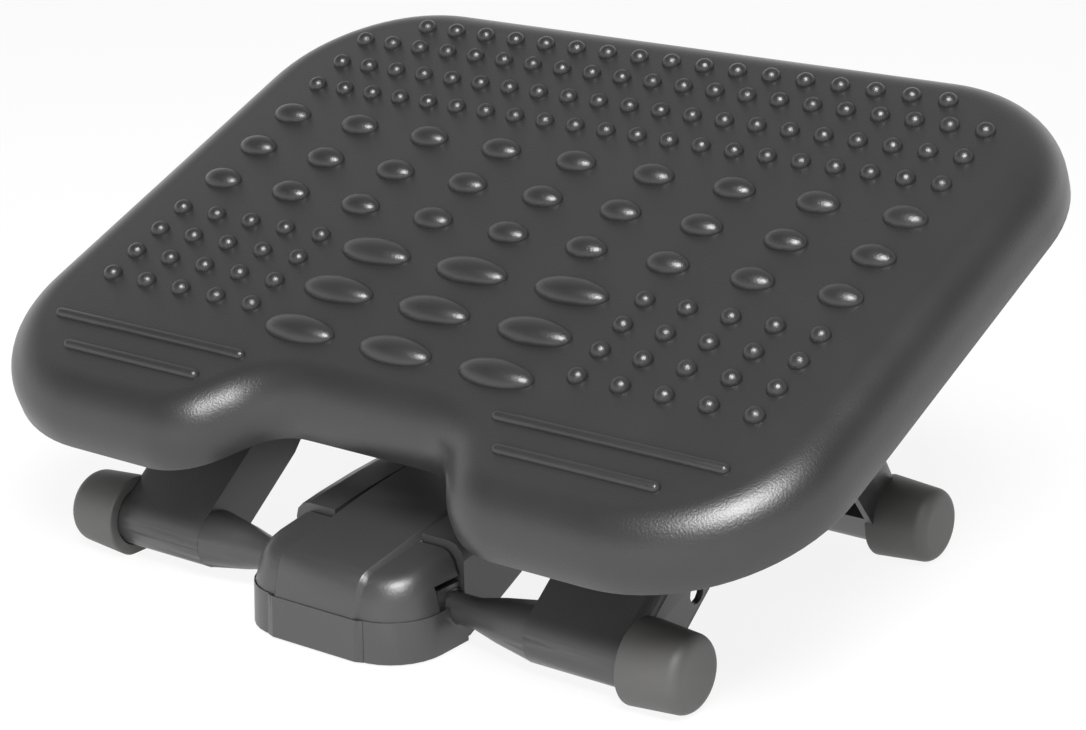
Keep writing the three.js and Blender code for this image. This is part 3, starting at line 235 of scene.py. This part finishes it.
# %% [markdown]
# ## The lamps
# On a dark moulding the lamps are seen in its gloss. The large softbox hangs high above the
# camera, which puts its patch on the rolled corner and on each bump. The other two only lift the
# shadows, the low one those under the platform, so they are hidden from mirrored rays. Each one
# is aimed at a height above the floor's middle.

# %% Softboxes
softboxes = (
    {
        "name": "key", "place": (0.82, -0.92, 1.85), "aim_height": 0.1,
        "width": 1.15, "watts": 76, "mirrored": True,
    },
    {
        "name": "fill", "place": (-1.6, -1.2, 1.2), "aim_height": 0.1,
        "width": 1.2, "watts": 8, "mirrored": False,
    },
    {
        "name": "low_fill", "place": (0.3, -2, 0.4), "aim_height": 0.08,
        "width": 1, "watts": 30, "mirrored": False,
    },
)


def add_softbox(name, place, aim_height, width, watts, mirrored):
    data = bpy.data.lights.new(name, "AREA")
    data.shape = "DISK"
    data.size = width
    data.energy = watts
    lamp = bpy.data.objects.new(name, data)
    lamp.location = place
    direction = Vector((0, 0, aim_height)) - Vector(place)
    lamp.rotation_euler = direction.to_track_quat("-Z", "Y").to_euler()
    lamp.visible_glossy = mirrored
    bpy.context.scene.collection.objects.link(lamp)


for softbox in softboxes:
    add_softbox(**softbox)
bpy.context.scene.view_settings.view_transform = "Standard"

# %% [markdown]
# ## The finishes
# The mouldings are charcoal plastic from a spark-eroded mould: satin, with a fine grain that
# breaks up the highlights. A fine noise makes the grain, as bump. A broad one changes the gloss
# and the shade a little from place to place, as on a moulded wall. The rubber of the caps is a
# little lighter than the plastic, and duller.

# %% Plastic and rubber
specular_level = 0.75
plain_gloss_change = 0.06
grain_detail = 3
grain_strength = 0.6
patch_scale = 26
patch_detail = 4
patch_lightening = 1.15
first_colour, second_colour, mixed_colour = 6, 7, 2

mouldings = {
    # deck_plastic is the same charcoal plastic as frame_plastic, set darker as painted shade: it
    # holds the deck dark under the bright softbox overhead.
    "deck_plastic": {
        "colour": (0.015, 0.0147, 0.015), "roughness": 0.35,
        "grain_scale": 1000, "grain_depth": 0.0002,
    },
    "frame_plastic": {
        "colour": (0.027, 0.0263, 0.0267), "roughness": 0.36,
        "grain_scale": 1000, "grain_depth": 0.00015,
    },
    "cap_rubber": {
        "colour": (0.048, 0.047, 0.046), "roughness": 0.55,
        "grain_scale": 1400, "grain_depth": 0.00006,
    },
    "bearing_plastic": {
        "colour": (0.027, 0.028, 0.03), "roughness": 0.35,
        "grain_scale": 900, "grain_depth": 0.00003,
    },
}


def add_finish(
    name, colour, roughness, grain_scale, grain_depth, gloss_change=plain_gloss_change
):
    material = bpy.data.materials.new(name)
    material.use_nodes = True
    nodes, links = material.node_tree.nodes, material.node_tree.links
    shader = nodes["Principled BSDF"]
    shader.inputs["Specular IOR Level"].default_value = specular_level
    place = nodes.new("ShaderNodeTexCoord")
    grain = nodes.new("ShaderNodeTexNoise")
    grain.inputs["Scale"].default_value = grain_scale
    grain.inputs["Detail"].default_value = grain_detail
    links.new(place.outputs["Object"], grain.inputs["Vector"])
    bump = nodes.new("ShaderNodeBump")
    bump.inputs["Distance"].default_value = grain_depth
    bump.inputs["Strength"].default_value = grain_strength
    links.new(grain.outputs["Fac"], bump.inputs["Height"])
    links.new(bump.outputs["Normal"], shader.inputs["Normal"])
    patches = nodes.new("ShaderNodeTexNoise")
    patches.inputs["Scale"].default_value = patch_scale
    patches.inputs["Detail"].default_value = patch_detail
    links.new(place.outputs["Object"], patches.inputs["Vector"])
    gloss = nodes.new("ShaderNodeMapRange")
    gloss.inputs["To Min"].default_value = roughness - gloss_change
    gloss.inputs["To Max"].default_value = roughness + gloss_change
    links.new(patches.outputs["Fac"], gloss.inputs["Value"])
    links.new(gloss.outputs["Result"], shader.inputs["Roughness"])
    # The Mix node has sockets of one name for each kind of value, so these go by number.
    tint = nodes.new("ShaderNodeMix")
    tint.data_type = "RGBA"
    lighter = [min(1, channel * patch_lightening) for channel in colour]
    tint.inputs[first_colour].default_value = (*colour, 1)
    tint.inputs[second_colour].default_value = (*lighter, 1)
    links.new(patches.outputs["Fac"], tint.inputs[0])
    links.new(tint.outputs[mixed_colour], shader.inputs["Base Color"])
    return material


finishes = {name: add_finish(name, **values) for name, values in mouldings.items()}
print("moulded finishes:", sorted(finishes))

# %% [markdown]
# ## Steel
# The shaft, the rods, the pin and the screws are zinc-plated steel, a little dull. The same tool
# makes their finish: a metal is the same shader with Metallic at 1 and a lighter colour, and
# here the gloss changes a little more from place to place.

# %% Zinc-plated steel
steel_values = {
    "colour": (0.52, 0.53, 0.54), "roughness": 0.32,
    "grain_scale": 700, "grain_depth": 0.00002, "gloss_change": 0.08,
}


def add_steel():
    material = add_finish("steel", **steel_values)
    material.node_tree.nodes["Principled BSDF"].inputs["Metallic"].default_value = 1
    return material


finishes["steel"] = add_steel()
print("finishes:", sorted(finishes))

# %% [markdown]
# ## Tools for every piece
# A piece is finished the same way each time: doubles are merged, the faces are turned outwards,
# smooth shading is kept within curves and broken at sharp edges, and the piece then rides on its
# body in place of the frame's own node. Where the faces point outwards already, as in a copy of a
# node, they are left as they are.

# %% Finishing a piece
smooth_angle = math.radians(32)
merge_gap = 0.000002
slots = {item["node"]: item["material_slot"] for item in frame["record"]["subparts"]}


def body_of(node):
    return frame["nodes"][node]["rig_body"]


def finish_piece(name, bm, node, recalculate=True):
    bmesh.ops.remove_doubles(bm, verts=bm.verts, dist=merge_gap)
    if recalculate:
        bmesh.ops.recalc_face_normals(bm, faces=bm.faces)
    for face in bm.faces:
        face.smooth = True
    mesh = bpy.data.meshes.new(name)
    bm.to_mesh(mesh)
    bm.free()
    mesh.set_sharp_from_angle(angle=smooth_angle)
    mesh.materials.append(finishes[slots[node]])
    piece = bpy.data.objects.new(name, mesh)
    bpy.context.scene.collection.objects.link(piece)
    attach(piece, body_of(node))
    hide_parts(node)
    return piece


print("parts in the frame:", len(slots))

# %% [markdown]
# ## Pieces with flat walls
# The channels of the legs, the brackets, the beam, its end cap and the pedal already have their
# true shape in the frame, but their edges are razor sharp, and a real moulding has none. A copy of
# each is merged, its flat faces are cleaned of the extra edges that cutting left, and a Bevel
# modifier rounds the sharp edges just enough to catch the light.

# %% Soft copies of the frame's nodes
clean_angle = math.radians(1.5)
sharp_angle = math.radians(38)
copy_merge_gap = 0.000005
edge_steps = 2
leg_edge = 0.0006
bracket_edge = 0.0004
housing_edge = 0.0005
sides = ("left", "right")


def soft_copy(node, edge_round, shape=None):
    bm = bmesh.new()
    bm.from_mesh(frame["nodes"][node].data)
    bmesh.ops.remove_doubles(bm, verts=bm.verts, dist=copy_merge_gap)
    if shape:
        shape(bm)
    bmesh.ops.dissolve_limit(
        bm, angle_limit=clean_angle, verts=bm.verts, edges=bm.edges, delimit=set()
    )
    piece = finish_piece(node + "_soft", bm, node, recalculate=False)
    bevel = piece.modifiers.new("edges", "BEVEL")
    bevel.width = edge_round
    bevel.segments = edge_steps
    bevel.limit_method = "ANGLE"
    bevel.angle_limit = sharp_angle
    bevel.harden_normals = True
    print("soft copy of", node)


for side in sides:
    soft_copy(f"front_leg_{side}", leg_edge)
    soft_copy(f"rear_leg_{side}", leg_edge)
    soft_copy(f"tilt_bracket_{side}", bracket_edge)
for node in ("spine_beam", "beam_end_cap", "foot_pedal"):
    soft_copy(node, housing_edge)

# %% [markdown]
# ## The nose tray
# A moulded wall leans in a little towards its open edge, or it would not leave the mould. On the
# tray that lean makes the step between its rim and the pedal smaller. The outer points of the rim
# are scaled towards the middle of the tray.

# %% Nose tray
tray_edge = 0.0003
tray_lean = 0.0006
rim_band = 0.0001
outer_reach = 0.01


def lean_rim(bm):
    low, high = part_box("nose_tray")
    middle = (low + high) / 2
    rim = []
    for vert in bm.verts:
        out = vert.co.xy - middle.xy
        faces_out = any(face.normal.xy.dot(out) > outer_reach for face in vert.link_faces)
        if high.z - vert.co.z < rim_band and faces_out:
            rim.append(vert)
    half = (high - low) / 2
    bmesh.ops.translate(bm, verts=rim, vec=-middle)
    bmesh.ops.scale(bm, verts=rim, vec=(1 - tray_lean / half.x, 1 - tray_lean / half.y, 1))
    bmesh.ops.translate(bm, verts=rim, vec=middle)
    print("rim points moved:", len(rim))


soft_copy("nose_tray", tray_edge, lean_rim)

# %% [markdown]
# ## The return spring
# A coil spring under the pedal's nose lifts it again. A small disc of the wire is spun about the
# spring's middle with a little rise at each step, which gives a helix.

# %% Return spring
full_turn = 2 * math.pi
quarter_turn = math.pi / 2
wire_radius = 0.0009
wire_sides = 12
spring_turns = 6
steps_per_turn = 24


def return_spring():
    low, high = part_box("pedal_spring")
    middle = (low + high) / 2
    radius = (high.x - low.x) / 2 - wire_radius
    height = high.z - low.z
    steps = spring_turns * steps_per_turn
    bm = bmesh.new()
    bmesh.ops.create_circle(bm, cap_ends=True, segments=wire_sides, radius=wire_radius)
    upright = Matrix.Rotation(quarter_turn, 3, "X")
    bmesh.ops.rotate(bm, verts=bm.verts, cent=(0, 0, 0), matrix=upright)
    start = (middle.x + radius, middle.y, low.z + wire_radius)
    bmesh.ops.translate(bm, verts=bm.verts, vec=start)
    bmesh.ops.spin(
        bm, geom=bm.verts[:] + bm.edges[:] + bm.faces[:], cent=middle, axis=(0, 0, 1),
        dvec=(0, 0, (height - 2 * wire_radius) / steps), angle=full_turn * spring_turns,
        steps=steps,
    )
    coil = finish_piece("return_spring", bm, "pedal_spring")
    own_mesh(coil)


return_spring()

# %% [markdown]
# ## Small parts
# The shaft, the rods, the screws, the bushes and the slider sit deep inside, where little of them
# shows. Their shape in the frame is right already, so each keeps it and only gets its finish.

# %% Finishes of the frame's own nodes
for node, item in frame["nodes"].items():
    item.data.materials.clear()
    item.data.materials.append(finishes[slots[node]])
print("nodes with a finish:", len(frame["nodes"]))

# %% [markdown]
# ## Rubber caps
# Each bar ends in a rubber cup. It is a turned shape, so a half outline is spun about the bar:
# the end face, a round fillet, a side that tapers as a moulding does to leave its mould, and a
# mouth that grips the bar. The cups have stood on the floor, so their lowest strip is flat,
# which is one cut with a plane.

# %% Rubber caps
cap_fillet = 0.006
cap_taper = 0.0009
cap_rim_round = 0.0012
cap_mouth_share = 0.77
cap_fillet_steps = 8
cap_rim_steps = 4
cap_steps = 72


def only(kind, items):
    return [item for item in items if isinstance(item, kind)]


def cut_below(bm, height):
    """Cuts off what is lower than a height, and closes the cut."""
    cut = bmesh.ops.bisect_plane(
        bm, geom=bm.verts[:] + bm.edges[:] + bm.faces[:], plane_co=(0, 0, height),
        plane_no=(0, 0, -1), clear_outer=True,
    )
    bmesh.ops.holes_fill(bm, edges=only(bmesh.types.BMEdge, cut["geom_cut"]))


def spin_profile(bm, points, centre):
    verts = [bm.verts.new(centre + point) for point in points]
    edges = [bm.edges.new(pair) for pair in zip(verts, verts[1:])]
    bmesh.ops.spin(
        bm, geom=verts + edges, cent=centre, axis=(1, 0, 0), angle=full_turn, steps=cap_steps,
        use_merge=True,
    )


def cap_profile(outer, inner, side, radius):
    """The half outline of a cap, from the middle of its end face round into its mouth."""
    end_radius, rim_radius = radius - cap_taper, radius + cap_taper
    mouth_radius = radius * cap_mouth_share
    inside_x = outer - side * cap_fillet
    points = [Vector((outer, 0, 0))]
    for step in range(cap_fillet_steps + 1):
        turn = quarter_turn * step / cap_fillet_steps
        x = outer - side * cap_fillet * (1 - math.cos(turn))
        points.append(Vector((x, 0, end_radius - cap_fillet * (1 - math.sin(turn)))))
    for step in range(cap_rim_steps + 1):
        turn = quarter_turn * step / cap_rim_steps
        x = inner + side * cap_rim_round * (1 - math.sin(turn))
        points.append(Vector((x, 0, rim_radius - cap_rim_round * (1 - math.cos(turn)))))
    points.append(Vector((inner, 0, mouth_radius)))
    points.append(Vector((inside_x, 0, mouth_radius)))
    points.append(Vector((inside_x, 0, 0)))
    return points


def rubber_cap(node):
    low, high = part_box(node)
    side = 1 if high.x > 0 else -1
    inner, outer = (low.x, high.x) if side > 0 else (high.x, low.x)
    radius = (high.y - low.y) / 2
    centre = Vector((0, (low.y + high.y) / 2, high.z - radius))
    bm = bmesh.new()
    spin_profile(bm, cap_profile(outer, inner, side, radius), centre)
    bmesh.ops.remove_doubles(bm, verts=bm.verts, dist=merge_gap)
    cut_below(bm, low.z)
    finish_piece(node + "_rubber", bm, node)


for row in ("front", "rear"):
    for side in sides:
        rubber_cap(f"{row}_cap_{side}")

# %% [markdown]
# ## The platform
# The platform is one moulding. Its outline is drawn for the right half as a path: straight to
# the notch's corner, round it, up the slanted wall, round the shoulder, and on round the front
# and rear corners. Spinning the last point about each corner's centre gives every arc, and a
# mirror gives the other half. Drawing it flat and tilting it at the end keeps the sums easy.

# %% Platform outline
platform_width = 0.457
platform_depth = 0.341
deck_rise = 0.046
front_corner = 0.0812
rear_corner = 0.0823
notch_depth = 0.040
notch_floor = 0.068
notch_shoulder = 0.040
notch_corner = 0.030
notch_wall_angle = math.radians(53.5)
corner_steps = 20
notch_steps = 12
outline_merge_gap = 0.00001

tilt_joint = joints["platform_tilt"]
rest_tilt = math.radians(-tilt_joint["range_deg"][0])
platform_place = Matrix.Translation(tilt_joint["pos_m"]) @ Matrix.Rotation(rest_tilt, 4, "X")


def go_to(bm, vert, x, y):
    made = bmesh.ops.extrude_vert_indiv(bm, verts=[vert])["verts"][0]
    made.co = (x, y, vert.co.z)
    return made


def turn_about(bm, vert, x, y, angle, steps):
    made = bmesh.ops.spin(
        bm, geom=[vert], cent=(x, y, 0), axis=(0, 0, 1), angle=angle, steps=steps
    )
    return only(bmesh.types.BMVert, made["geom_last"])[0]


def draw_platform_outline(bm):
    half_width, half_depth = platform_width / 2, platform_depth / 2
    floor_y = -half_depth + notch_depth
    wall_sin, wall_cos = math.sin(notch_wall_angle), math.cos(notch_wall_angle)
    radii = notch_shoulder + notch_corner
    wall_length = (notch_depth - radii * (1 - wall_cos)) / wall_sin
    shoulder_x = notch_floor / 2 + radii * wall_sin + wall_length * wall_cos
    vert = bm.verts.new((0, floor_y, 0))
    vert = go_to(bm, vert, notch_floor / 2, floor_y)
    corner_y = floor_y - notch_corner
    vert = turn_about(bm, vert, notch_floor / 2, corner_y, -notch_wall_angle, notch_steps)
    slope = Vector((wall_cos, -wall_sin)) * wall_length
    vert = go_to(bm, vert, vert.co.x + slope.x, vert.co.y + slope.y)
    shoulder_y = -half_depth + notch_shoulder
    vert = turn_about(bm, vert, shoulder_x, shoulder_y, notch_wall_angle, notch_steps)
    front_x, front_y = half_width - front_corner, -half_depth + front_corner
    vert = go_to(bm, vert, front_x, -half_depth)
    vert = turn_about(bm, vert, front_x, front_y, quarter_turn, corner_steps)
    rear_x, rear_y = half_width - rear_corner, half_depth - rear_corner
    vert = go_to(bm, vert, half_width, rear_y)
    vert = turn_about(bm, vert, rear_x, rear_y, quarter_turn, corner_steps)
    go_to(bm, vert, 0, half_depth)
    bmesh.ops.mirror(
        bm, geom=bm.verts[:] + bm.edges[:], axis="X", matrix=Matrix(),
        merge_dist=outline_merge_gap,
    )
    bmesh.ops.remove_doubles(bm, verts=bm.verts, dist=outline_merge_gap)


print("the platform rests at", round(math.degrees(rest_tilt), 2), "degrees")

# %% [markdown]
# ## The platform's shell
# Seen from the side the platform is a tray turned upside down: a deck whose edge rolls over into
# a skirt. The outline is filled and given its depth, and a wide bevel on the top edge makes the
# roll. The underside is then taken off, Solidify gives the rest an even wall as a moulding has,
# and a small bevel softens the skirt's lower edge.

# %% Platform shell
roll = 0.0225
roll_steps = 12
skirt_depth = 0.0296
skirt_edge_round = 0.0008
skirt_edge_steps = 2
wall = 0.003
facing_down = -0.9
level_gap = 0.0001


def moulded_shell():
    skirt_bottom = deck_rise - skirt_depth
    bm = bmesh.new()
    draw_platform_outline(bm)
    bmesh.ops.contextual_create(bm, geom=bm.edges)
    bmesh.ops.translate(bm, verts=bm.verts, vec=(0, 0, skirt_bottom))
    raised = bmesh.ops.extrude_face_region(bm, geom=bm.faces[:])["geom"]
    top = only(bmesh.types.BMVert, raised)
    bmesh.ops.translate(bm, verts=top, vec=(0, 0, skirt_depth))
    bmesh.ops.recalc_face_normals(bm, faces=bm.faces)
    top_edges = [edge for edge in bm.edges if all(vert in top for vert in edge.verts)]
    bmesh.ops.bevel(
        bm, geom=top_edges, offset=roll, offset_type="OFFSET", segments=roll_steps, profile=0.5,
        affect="EDGES", clamp_overlap=False, material=-1,
    )
    below = [face for face in bm.faces if face.normal.z < facing_down]
    bmesh.ops.delete(bm, geom=below, context="FACES_ONLY")
    bmesh.ops.solidify(bm, geom=bm.faces[:], thickness=wall)
    lowest = [
        edge for edge in bm.edges
        if max(vert.co.z for vert in edge.verts) < skirt_bottom + level_gap
    ]
    corners = [edge for edge in lowest if edge.calc_face_angle(0) > sharp_angle]
    bmesh.ops.bevel(
        bm, geom=corners, offset=skirt_edge_round, offset_type="OFFSET",
        segments=skirt_edge_steps, profile=0.5, affect="EDGES", material=-1,
    )
    return bm


print("before the tilt the skirt ends", round(deck_rise - skirt_depth, 4), "m above the shaft")

# %% [markdown]
# ## Bumps on the deck
# Three sizes of bump massage the feet: round studs at the back and at the front corners, small
# ovals across the middle and long ovals by the notch. Each is the top half of a stretched ball.
# One form of each size is made and copied along rows, with the pitch measured on the
# photograph's lattice, because copying a ready mesh is much quicker than making it again.

# %% Bumps
bump_root = 0.001

bump_sizes = {
    "stud": {"size": (0.0048, 0.0048, 0.0045), "around": 20, "rings": 14},
    "oval": {"size": (0.011, 0.007, 0.0054), "around": 36, "rings": 22},
    "long_oval": {"size": (0.020, 0.0085, 0.0063), "around": 44, "rings": 24},
}

rearmost_studs = {"columns": 17, "column_pitch": 0.01926, "rows": 1, "row_pitch": 0}
rear_studs = {"columns": 21, "column_pitch": 0.01826, "rows": 3, "row_pitch": 0.0211}
ovals = {"columns": 9, "column_pitch": 0.04468, "rows": 3, "row_pitch": 0.0289}
long_ovals = {"columns": 3, "column_pitch": 0.0566, "rows": 3, "row_pitch": 0.03}
corner_studs = {"columns": 5, "column_pitch": 0.02248, "rows": 4, "row_pitch": 0.0182}

bump_grids = (
    {"form": "stud", **rearmost_studs, "middle": (0, 0.1413)},
    {"form": "stud", **rear_studs, "middle": (0, 0.1024)},
    {"form": "oval", **ovals, "middle": (0, 0.0259)},
    {"form": "long_oval", **long_ovals, "middle": (0, -0.0631)},
    {"form": "stud", **corner_studs, "middle": (-0.1388, -0.0563)},
    {"form": "stud", **corner_studs, "middle": (0.1388, -0.0563)},
)


def bump_form(size, around, rings):
    """The mesh of one bump, cut off just under the deck's surface and closed there."""
    bm = bmesh.new()
    bmesh.ops.create_uvsphere(bm, u_segments=around, v_segments=rings, radius=1)
    bmesh.ops.scale(bm, verts=bm.verts, vec=size)
    cut_below(bm, -bump_root)
    mesh = bpy.data.meshes.new("bump")
    bm.to_mesh(mesh)
    bm.free()
    return mesh


def set_bump(bm, form, x, y):
    """Another copy of the form, on the deck."""
    shift = Matrix.Translation((x, y, deck_rise))
    form.transform(shift)
    bm.from_mesh(form)
    form.transform(shift.inverted())


def bump_grid(bm, form, grid):
    middle_x, middle_y = grid["middle"]
    for row in range(grid["rows"]):
        y = middle_y + (row - (grid["rows"] - 1) / 2) * grid["row_pitch"]
        for column in range(grid["columns"]):
            x = middle_x + (column - (grid["columns"] - 1) / 2) * grid["column_pitch"]
            set_bump(bm, form, x, y)


def add_bumps(bm):
    forms = {name: bump_form(**values) for name, values in bump_sizes.items()}
    for grid in bump_grids:
        bump_grid(bm, forms[grid["form"]], grid)
    for form in forms.values():
        bpy.data.meshes.remove(form)


print("bumps:", sum(grid["columns"] * grid["rows"] for grid in bump_grids))

# %% [markdown]
# ## Grip ribs
# Two long ribs at each front corner keep a shoe from sliding off. Each has round ends, so it is a
# ball whose far half is moved along: the faces between the halves stretch into the rib.

# %% Grip ribs
rib_half_width = 0.0028
rib_height = 0.0027
rib_around = 24
rib_rings = 16
rib_middle_gap = 0.000001

ribs = (
    {"start": 0.0715, "end": 0.1915, "y": -0.1165},
    {"start": 0.0845, "end": 0.1695, "y": -0.135},
)


def grip_rib(start, end, y):
    """The mesh of one rib, along x."""
    bm = bmesh.new()
    bmesh.ops.create_uvsphere(bm, u_segments=rib_around, v_segments=rib_rings, radius=1)
    sideways = Matrix.Rotation(quarter_turn, 3, "Y")
    bmesh.ops.rotate(bm, verts=bm.verts, cent=(0, 0, 0), matrix=sideways)
    bmesh.ops.scale(bm, verts=bm.verts, vec=(rib_half_width, rib_half_width, rib_height))
    far = [vert for vert in bm.verts if vert.co.x > rib_middle_gap]
    bmesh.ops.translate(bm, verts=bm.verts, vec=(start + rib_half_width, y, deck_rise))
    bmesh.ops.translate(bm, verts=far, vec=(end - start - 2 * rib_half_width, 0, 0))
    mesh = bpy.data.meshes.new("rib")
    bm.to_mesh(mesh)
    bm.free()
    return mesh


def add_grip_ribs(bm):
    for rib in ribs:
        start, end = rib["start"], rib["end"]
        for ends in ((start, end), (-end, -start)):
            mesh = grip_rib(*ends, rib["y"])
            bm.from_mesh(mesh)
            bpy.data.meshes.remove(mesh)


print("grip ribs:", len(sides) * len(ribs))

# %% [markdown]
# ## Under the deck
# Thin walls stiffen a wide moulding. They run both ways under the deck, and stop where they meet
# the rolled edge. Round bosses between them take the screws of the tilt brackets. A wall is a
# cube whose corners are moved to where the outline ends at that place, and a boss is a cylinder
# that reaches up into the deck.

# %% Stiffening walls and bosses
stiffener_depth = 0.008
stiffener_width = 0.0024
stiffener_x = (-0.152, -0.098, -0.044, 0.044, 0.098, 0.152)
stiffener_y = (-0.076, -0.034, 0.034, 0.076, 0.120)
top_inset_share = 0.72
bottom_inset_share = 1.6
top_inset = top_inset_share * roll
bottom_inset = bottom_inset_share * wall
boss_radius = 0.0046
boss_sides = 32
boss_reach = 0.02


def outline_reach(points, axis, place):
    """Where the outline starts and ends along one axis, at a place on the other. With each comes
    how much longer a way in is there than square to the outline."""
    other = 1 - axis
    reach = []
    for a, b in zip(points, points[1:] + points[:1]):
        if (a[other] - place) * (b[other] - place) < 0:
            share = (place - a[other]) / (b[other] - a[other])
            slant = (b - a).length / abs(b[other] - a[other])
            reach.append((a[axis] + share * (b[axis] - a[axis]), slant))
    return min(reach), max(reach)


def outline_points():
    bm = bmesh.new()
    draw_platform_outline(bm)
    face = bmesh.ops.contextual_create(bm, geom=bm.edges)["faces"][0]
    points = [vert.co.xy for vert in face.verts]
    bm.free()
    return points


def stiffener(bm, points, axis, place):
    """A wall along x (axis 0) or y (axis 1), whose ends lean in with the rolled edge."""
    box = bmesh.ops.create_cube(bm, size=1)["verts"]
    top, bottom = deck_rise - wall / 2, deck_rise - wall - stiffener_depth
    for vert in box:
        inset, height = (top_inset, top) if vert.co.z > 0 else (bottom_inset, bottom)
        across = place + math.copysign(stiffener_width / 2, vert.co[1 - axis])
        (low, low_slant), (high, high_slant) = outline_reach(points, axis, across)
        end = high - inset * high_slant if vert.co[axis] > 0 else low + inset * low_slant
        vert.co = (end, across, height) if axis == 0 else (across, end, height)


def screw_boss(bm, x, y):
    depth = stiffener_depth + wall / 2
    boss = bmesh.ops.create_cone(
        bm, segments=boss_sides, radius1=boss_radius, radius2=boss_radius, depth=depth,
        cap_ends=True,
    )["verts"]
    middle = deck_rise - wall / 2 - depth / 2
    bmesh.ops.translate(bm, verts=boss, vec=(x, y, middle))


def add_underside(bm):
    points = outline_points()
    for x in stiffener_x:
        stiffener(bm, points, 1, x)
    for y in stiffener_y:
        stiffener(bm, points, 0, y)
    low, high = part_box("tilt_bracket_right")
    boss_x = (low.x + high.x) / 2
    for x in (-boss_x, boss_x):
        for y in (-boss_reach, boss_reach):
            screw_boss(bm, x, y)


print("stiffening walls:", len(stiffener_x) + len(stiffener_y))

# %% [markdown]
# ## The finished platform
# Shell, walls, bosses, bumps and ribs go into one mesh, because the real one is a single
# moulding. Each form is closed by itself and sinks a little into the wall that carries it, so no
# gap shows between them. The whole is then tilted into its place on the shaft.

# %% The finished platform
def platform():
    bm = moulded_shell()
    bmesh.ops.recalc_face_normals(bm, faces=bm.faces)
    add_underside(bm)
    add_bumps(bm)
    add_grip_ribs(bm)
    bmesh.ops.transform(bm, matrix=platform_place, verts=bm.verts)
    return finish_piece("platform_moulding", bm, "platform", recalculate=False)


moulding = platform()
print("platform faces:", len(moulding.data.polygons))
